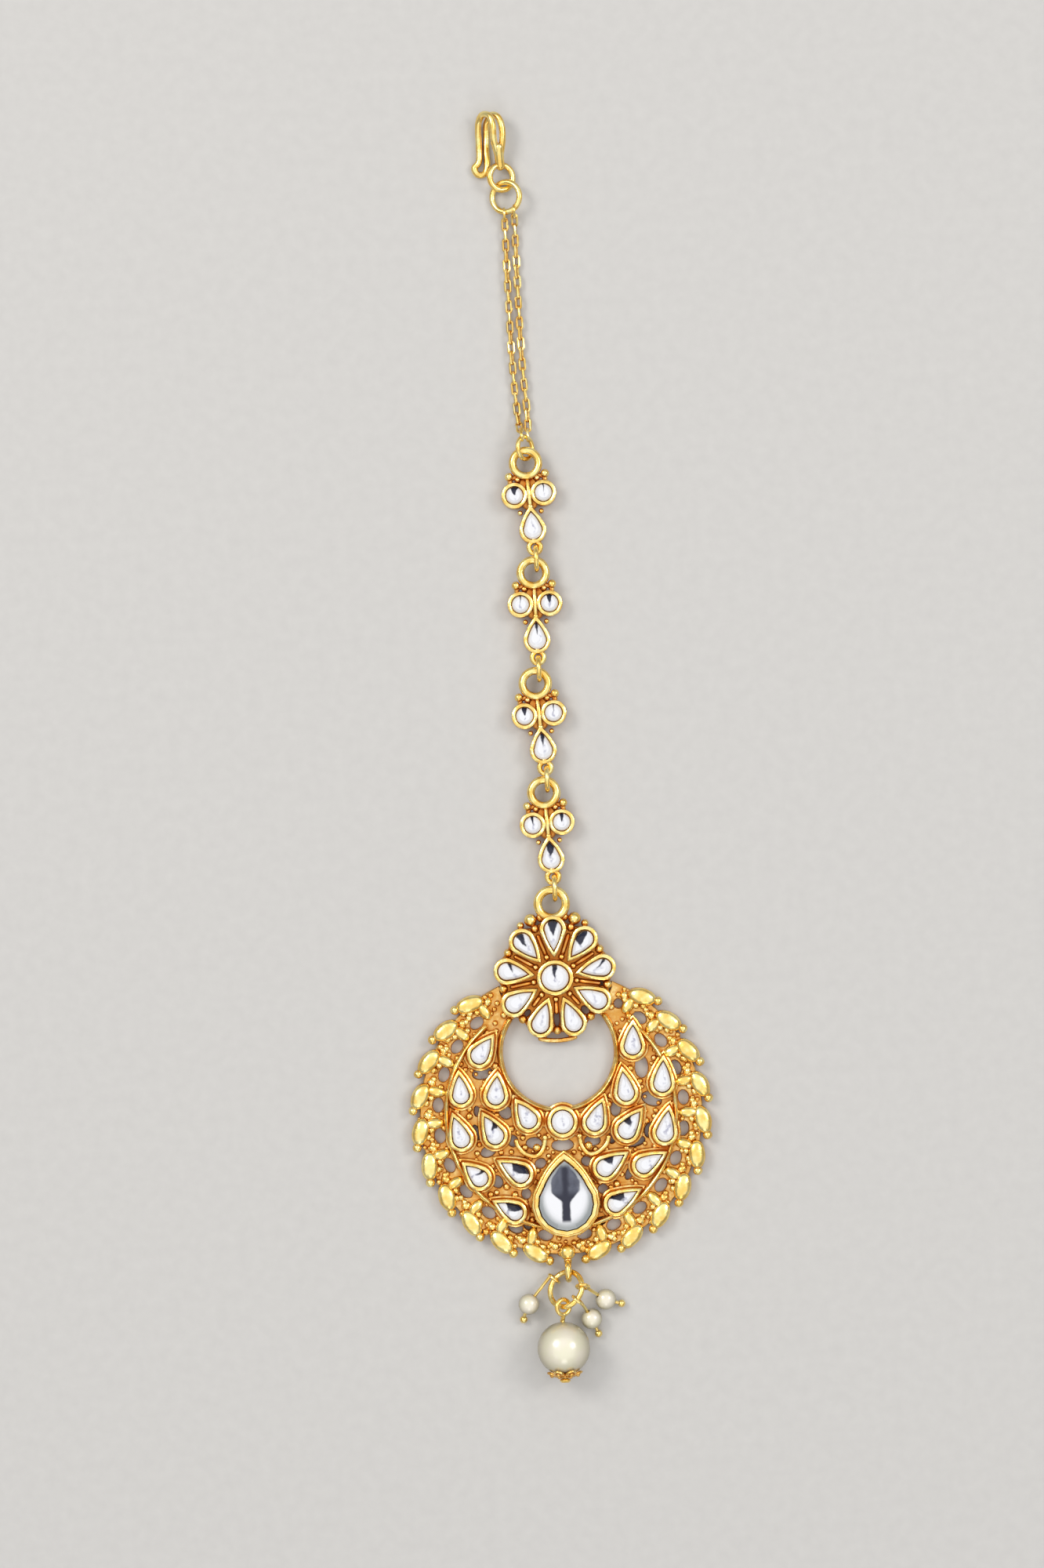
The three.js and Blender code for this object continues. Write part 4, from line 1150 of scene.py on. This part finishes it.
# The ball at its tip and its granules: orbit, degrees further up, height and radius
LEAF_BALLS = (
    (18.85, 0.0, 1.15, 0.6),
    (17.2, 3.4, 1.1, 0.5),
    (16.65, 6.0, 1.2, 0.45),
    (16.75, -0.2, 1.1, 0.42),
)

# A low floor and top: the least painted shade on the low parts
leaf_gold = gold_plate("cast gold of the leaves", recess_size=0.8, floor=0.5, top=1.5)


def lobe(work, start, end, width, top):
    """A domed oval lobe between its two ends."""
    along = (end - start).xy
    turn = math.atan2(-along.x, along.y)
    outline = turned_oval((start.xy + end.xy) / 2, along.length, width, turn, 20)
    work.dome(outline, LOBE_FOOT, top - LOBE_DOME, top)


leaves = Metalwork()
for side in (-1, 1):
    for i in range(LEAF_COUNT):
        angle = LEAF_FIRST + LEAF_STEP * i

        def spot(orbit, lead, height=0.0):
            return around_crescent(orbit, angle + lead, side, height)

        for start, end, width, top in LEAF_LOBES:
            lobe(leaves, spot(*start), spot(*end), width, top)
        for orbit, lead, height, radius in LEAF_BALLS:
            leaves.ball(spot(orbit, lead, height), radius)
leaves.knead(amount=0.06, size=1.0)
leaves.piece("leaf_row", leaf_gold, ["pendant_setting"], sharp=60)


# ---- Foot --------------------------------------------------------------------------------
# A pressed ball at the crescent's lowest point, with two small ones on each side. Below it a
# loop of wire is soldered on edge, and the drops hang on it.

FOOT_BALL = (0, -35.0, 1.5)
FOOT_BALL_RADIUS = 1.0
FOOT_SIDE_BALLS = (((1.5, -34.2, 1.1), 0.55), ((2.6, -34.9, 1.0), 0.5))
FOOT_LOOP_MIDDLE = (0, -37.35, 1.55)
FOOT_LOOP_RADIUS = 1.1
FOOT_LOOP_WIRE = 0.4
FOOT_STEM = ((0, -35.2, 1.2), (0, -36.3, 1.5))
FOOT_STEM_WIRE = 0.5
foot = Metalwork()
foot.ball(from_flower(*FOOT_BALL), FOOT_BALL_RADIUS, flatness=0.75, fine=3)
for side in (-1, 1):
    add_balls(foot, FOOT_SIDE_BALLS, side)
loop_line = circle_line(from_flower(*FOOT_LOOP_MIDDLE), UP, ALONG, FOOT_LOOP_RADIUS, 32)
foot.wire(loop_line, FOOT_LOOP_WIRE, closed=True)
foot.wire([from_flower(*point) for point in FOOT_STEM], FOOT_STEM_WIRE)
foot.knead(amount=0.03, size=1.0)
foot.piece("foot_loop", leaf_gold, ["pendant_setting"], sharp=50)


# ---- Pearls ------------------------------------------------------------------------------
# Imitation pearls of glass under a cream nacre lacquer, bored for a brass head pin whose eye
# hangs on the drop ring: a large one with a filigree cap below it, and three small ones.

DROP_RING_WIRE = 0.35
PEARL_BORE = 0.4                  # radius of the large pearl's bore
SMALL_PEARL_BORE = 0.3
PEARL_CREAM = (0.74, 0.70, 0.51, 1)
PEARL_PINK = (0.78, 0.71, 0.58, 1)
PEARL_PAINTED_EDGE_SHADE = (0.22, 0.18, 0.07, 1)


def nacre(name):
    """Cream lacquer that drifts towards pink, with painted shade darkening it towards the edge, under a
    clear, silky coat.
    """
    finish = Finish(name)
    place = finish.node("ShaderNodeTexCoord", output=3)
    drift = finish.grain(place, 2.5).step(0.35, 0.65)
    # Painted shade: darker where the surface turns away from the camera, at the pearl's edge
    edge = finish.node("ShaderNodeLayerWeight", {}, {"Blend": 0.5}, output=1)
    body = finish.mix(drift, PEARL_CREAM, PEARL_PINK)
    return finish.surface({
        "Base Color": finish.mix(edge.step(0.0, 0.9), body, PEARL_PAINTED_EDGE_SHADE),
        "Roughness": 0.3,
        "Specular IOR Level": 0.6,
        "Coat Weight": 1.0,
        "Coat Roughness": 0.22,
        "Coat IOR": 1.9,
        "Normal": finish.bump(finish.grain(place, 0.6), 0.01),
    })


pearl_nacre = nacre("pearl lacquer")


def bored_pearl(node, radius, hole, axis):
    """A pearl with its bore along an axis, as one closed skin."""
    centre = middle(node)
    first = axis.orthogonal().normalized()
    second = axis.cross(first)
    opening = math.asin(hole / radius)
    steps = 40
    rings = []
    for i in range(steps + 1):
        polar = opening + (math.pi - 2 * opening) * i / steps
        at = centre + axis * radius * math.cos(polar)
        rings.append(circle_line(at, first, second, radius * math.sin(polar), 56))
    pearl = Metalwork()
    pearl.loft(rings, closed=True)
    pearl.piece(f"{node}_lacquered", pearl_nacre, [node], sharp=60)


# The drop ring leans: its right side is raised, and its lower end stands on the large pearl
jump_ring("drop_ring", DROP_RING_WIRE, 110)
DROP_RING_TOP = (0, -37.47, 1.55)
drop_middle, drop_first, drop_second, drop_radius = ring_place("drop_ring", DROP_RING_WIRE)
drop_along = (drop_middle - from_flower(*DROP_RING_TOP)).normalized()
drop_across = drop_first.cross(drop_second).cross(drop_along).normalized()
if drop_across.x < 0:
    drop_across = -drop_across


def on_drop_ring(degrees):
    """The direction out and the point on the drop ring, at an angle from its right side."""
    a = math.radians(degrees)
    out = drop_across * math.cos(a) - drop_along * math.sin(a)
    return out, drop_middle + out * drop_radius


# Large pearl, its head pin and the filigree cap
PEARL_RADIUS = 3.35
PEARL_PIN = 0.3
PEARL_EYE_RADIUS = 0.95
PEARL_EYE_WIRE = 0.28
PEARL_EYE_TURN = math.radians(-58)
PEARL_EYE_X = -0.86               # from the flower's middle
PEARL_EYE_ROOM = 0.02             # the eye hangs this far below the drop ring's lowest point
PIN_BEND_OUT = 0.15               # the pin bends this far outside the pearl
PIN_END_SHORT = 0.35              # its wire ends this far inside its head
# Radius and height of the pin's head, from its end
PIN_HEAD = (
    (0.001, 0.0), (0.45, 0.02), (0.68, 0.2), (0.7, 0.3), (0.6, 0.46), (0.3, 0.55), (0.001, 0.56),
)
CAP_GAP = 0.08
CAP_THICKNESS = 0.26
CAP_SPREAD = math.radians(36)
CAP_POINTS = 6
CAP_EDGE = (0.55, 0.42)           # its edge's least reach and its waves, as shares of the spread
CAP_EDGE_WIRE = 0.15
CAP_HOLE_ROOM = 0.1               # round the pin
CAP_OUTER_BALL = (0.72, 0.05, 0.3)    # share of the spread, way out of the cap and radius
CAP_INNER_BALL = (0.36, 0.03, 0.24)
CAP_INNER_WIRE = (0.3, 0.02, 0.14)
# Its floor and top put most of the cap in the dark orange-brown, its own darker brass, and painted
# shade darkens its crevices
cap_gold = gold_plate("toned brass of the pearl's cap", recess_size=0.8, floor=2.5, top=8.0)

PEARL_LEAN = math.radians(10)     # its cap's end lies higher than its eye's
pearl = middle("pearl")
bore = Vector((0, math.cos(PEARL_LEAN), -math.sin(PEARL_LEAN)))
bored_pearl("pearl", PEARL_RADIUS, PEARL_BORE, bore)
eye = Vector((FLOWER_MIDDLE.x + PEARL_EYE_X, on_drop_ring(-90)[1].y - PEARL_EYE_ROOM, pearl.z))
eye_side = Vector((math.sin(PEARL_EYE_TURN), 0, math.cos(PEARL_EYE_TURN)))
pin = Metalwork()
pin.wire(circle_line(eye, ALONG, eye_side, PEARL_EYE_RADIUS, 36), PEARL_EYE_WIRE, closed=True)
pin_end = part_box("pearl_pin")[0].y / MM
pin_reach = pearl.y - pin_end
pin_bend = pearl + bore * (PEARL_RADIUS + PIN_BEND_OUT)
pin_top = eye - ALONG * PEARL_EYE_RADIUS
pin.wire([pin_top, pin_bend, pearl - bore * (pin_reach - PIN_END_SHORT)], PEARL_PIN)
head_rings = []
for radius, high in PIN_HEAD:
    at = pearl - bore * (pin_reach - high)
    head_rings.append(circle_line(at, ACROSS, bore.cross(ACROSS), radius, 20))
pin.loft(head_rings)
pin.piece("pearl_head_pin", wire_gold, ["pearl_pin"])


def on_cap(polar, turn, radius):
    """A point round the pearl, from straight down its bore."""
    around = math.cos(turn) * ACROSS + math.sin(turn) * ACROSS.cross(bore)
    return pearl + radius * (math.sin(polar) * around - math.cos(polar) * bore)


cap = Metalwork()
cap_inside = PEARL_RADIUS + CAP_GAP
cap_outside = cap_inside + CAP_THICKNESS
cap_turns = [2 * math.pi * i / 72 for i in range(72)]
least, wave = CAP_EDGE
cap_edges = [CAP_SPREAD * (least + wave * abs(math.cos(CAP_POINTS * turn / 2))) for turn in cap_turns]
opening = math.asin((PEARL_PIN + CAP_HOLE_ROOM) / cap_outside)
shares = [i / 6 for i in range(7)]
cap_rings = []
for radius, order in ((cap_outside, shares), (cap_inside, shares[::-1])):
    for share in order:
        ring = [
            on_cap(opening + (edge - opening) * share, turn, radius)
            for turn, edge in zip(cap_turns, cap_edges)
        ]
        cap_rings.append(ring)
cap.loft(cap_rings, closed=True)
edge_line = [on_cap(edge, turn, cap_outside) for turn, edge in zip(cap_turns, cap_edges)]
cap.wire(edge_line, CAP_EDGE_WIRE, closed=True)
for i in range(CAP_POINTS):
    turn = 2 * math.pi * i / CAP_POINTS
    share, out, radius = CAP_OUTER_BALL
    cap.ball(on_cap(CAP_SPREAD * share, turn, cap_outside + out), radius)
    share, out, radius = CAP_INNER_BALL
    cap.ball(on_cap(CAP_SPREAD * share, turn + math.pi / CAP_POINTS, cap_outside + out), radius)
share, out, radius = CAP_INNER_WIRE
inner_line = [on_cap(CAP_SPREAD * share, turn, cap_outside + out) for turn in cap_turns[::2]]
cap.wire(inner_line, radius, closed=True)
cap.piece("pearl_cap_filigree", cap_gold, ["pearl_cap"], sharp=60)

# Small pearls: their pin's angle round the drop ring, and its ball from the pearl's middle
SMALL_PEARL_RADIUS = 1.33
SMALL_PIN = 0.2
SMALL_EYE = 0.78
SMALL_EYE_OUT = 0.14              # from the drop ring's wire to the eye's middle
SMALL_HEAD = 0.5
SMALL_HEAD_HEIGHT = 0.62
SMALL_PINS = ((143, (-0.75, -2.0)), (-38, (0.8, -2.0)), (8, (2.0, -0.7)))

for number, (degrees, head_from) in enumerate(SMALL_PINS, start=1):
    centre = middle(f"small_pearl_{number}")
    out, point = on_drop_ring(degrees)
    wire_along = drop_along.cross(drop_across).cross(out)
    away = (centre - point) - (centre - point).project(wire_along)
    away.normalize()
    eye = point + away * SMALL_EYE_OUT
    head_middle = Vector((centre.x + head_from[0], centre.y + head_from[1], SMALL_HEAD_HEIGHT))
    shank_top = eye + away * SMALL_EYE
    pin = Metalwork()
    eye_ring = circle_line(eye, away, away.cross(wire_along), SMALL_EYE, 30)
    pin.wire(eye_ring, SMALL_PIN, closed=True, sides=10)
    pin.wire(smooth_line([shank_top, centre, head_middle], 6), SMALL_PIN, sides=10)
    pin.ball(head_middle, SMALL_HEAD)
    pin.piece(f"small_head_pin_{number}", wire_gold, [f"small_pin_{number}"])
    axis = (head_middle - shank_top).normalized()
    bored_pearl(f"small_pearl_{number}", SMALL_PEARL_RADIUS, SMALL_PEARL_BORE, axis)


# ---- Studio ------------------------------------------------------------------------------
# A pale paper floor under the jewel, a wide panel of soft light above it, three soft boxes
# round it, and the camera straight above, a little turned.

FLOOR_SIZE = 3.0
FLOOR_PALE = (0.50, 0.485, 0.465, 1)
FLOOR_LIGHT = (0.56, 0.545, 0.52, 1)
VIEW_CENTRE = (-3.08, -4.80)      # where the camera looks, from the middle of the jewel, mm
VIEW_TURN = math.radians(-2.6)
VIEW_HEIGHT = 200.0               # what the frame's height takes in at the jewel, mm
LENS = 100.0
SENSOR = 36.0
SKY = (0.60, 0.62, 0.66, 1)
SKY_STRENGTH = 0.7

floor_finish = Finish("matt paper")
floor_place = floor_finish.node("ShaderNodeTexCoord", output=3)
fibre = floor_finish.grain(floor_place, 1.5, detail=4.0)
paper = floor_finish.surface({
    "Base Color": floor_finish.mix(fibre, FLOOR_PALE, FLOOR_LIGHT),
    "Roughness": 0.85,
    "Normal": floor_finish.bump(fibre, 0.01),
})
floor_mesh = bpy.data.meshes.new("floor")
half = FLOOR_SIZE / 2
floor_corners = [(-half, -half, 0), (half, -half, 0), (half, half, 0), (-half, half, 0)]
floor_mesh.from_pydata(floor_corners, [], [(0, 1, 2, 3)])
floor_mesh.materials.append(paper)
floor = bpy.data.objects.new("floor", floor_mesh)
bpy.context.scene.collection.objects.link(floor)


def soft_light(name, place, size, power, colour):
    """A square soft box that faces the jewel."""
    light = bpy.data.lights.new(name, "AREA")
    light.size = size
    light.energy = power
    light.color = colour
    box = bpy.data.objects.new(name, light)
    box.location = place
    box.rotation_mode = "QUATERNION"
    box.rotation_quaternion = Vector(place).to_track_quat("Z", "Y")
    bpy.context.scene.collection.objects.link(box)


soft_light("overhead_panel", (0.0, 0.05, 0.80), size=1.8, power=7.4, colour=(1.0, 0.99, 0.97))
soft_light("left_soft_box", (-0.45, 0.30, 0.60), size=0.28, power=2.0, colour=(1.0, 0.98, 0.95))
soft_light("right_soft_box", (0.50, 0.15, 0.55), size=0.24, power=1.2, colour=(1.0, 0.99, 0.97))
soft_light("lower_soft_box", (0.0, -0.65, 0.45), size=0.25, power=0.4, colour=(1.0, 0.97, 0.93))

world = bpy.data.worlds.new("studio")
world.use_nodes = True
world.node_tree.nodes["Background"].inputs["Color"].default_value = SKY
world.node_tree.nodes["Background"].inputs["Strength"].default_value = SKY_STRENGTH
bpy.context.scene.world = world
bpy.context.scene.view_settings.view_transform = "Standard"

camera_data = bpy.data.cameras.new("camera")
camera_data.lens = LENS
camera_data.sensor_width = SENSOR
camera_data.clip_start = 0.01
camera_data.clip_end = 20.0
camera = bpy.data.objects.new("camera", camera_data)
camera.location = (VIEW_CENTRE[0] * MM, VIEW_CENTRE[1] * MM, VIEW_HEIGHT * MM * LENS / SENSOR)
camera.rotation_euler = (0, 0, VIEW_TURN)
bpy.context.scene.collection.objects.link(camera)
bpy.context.scene.camera = camera
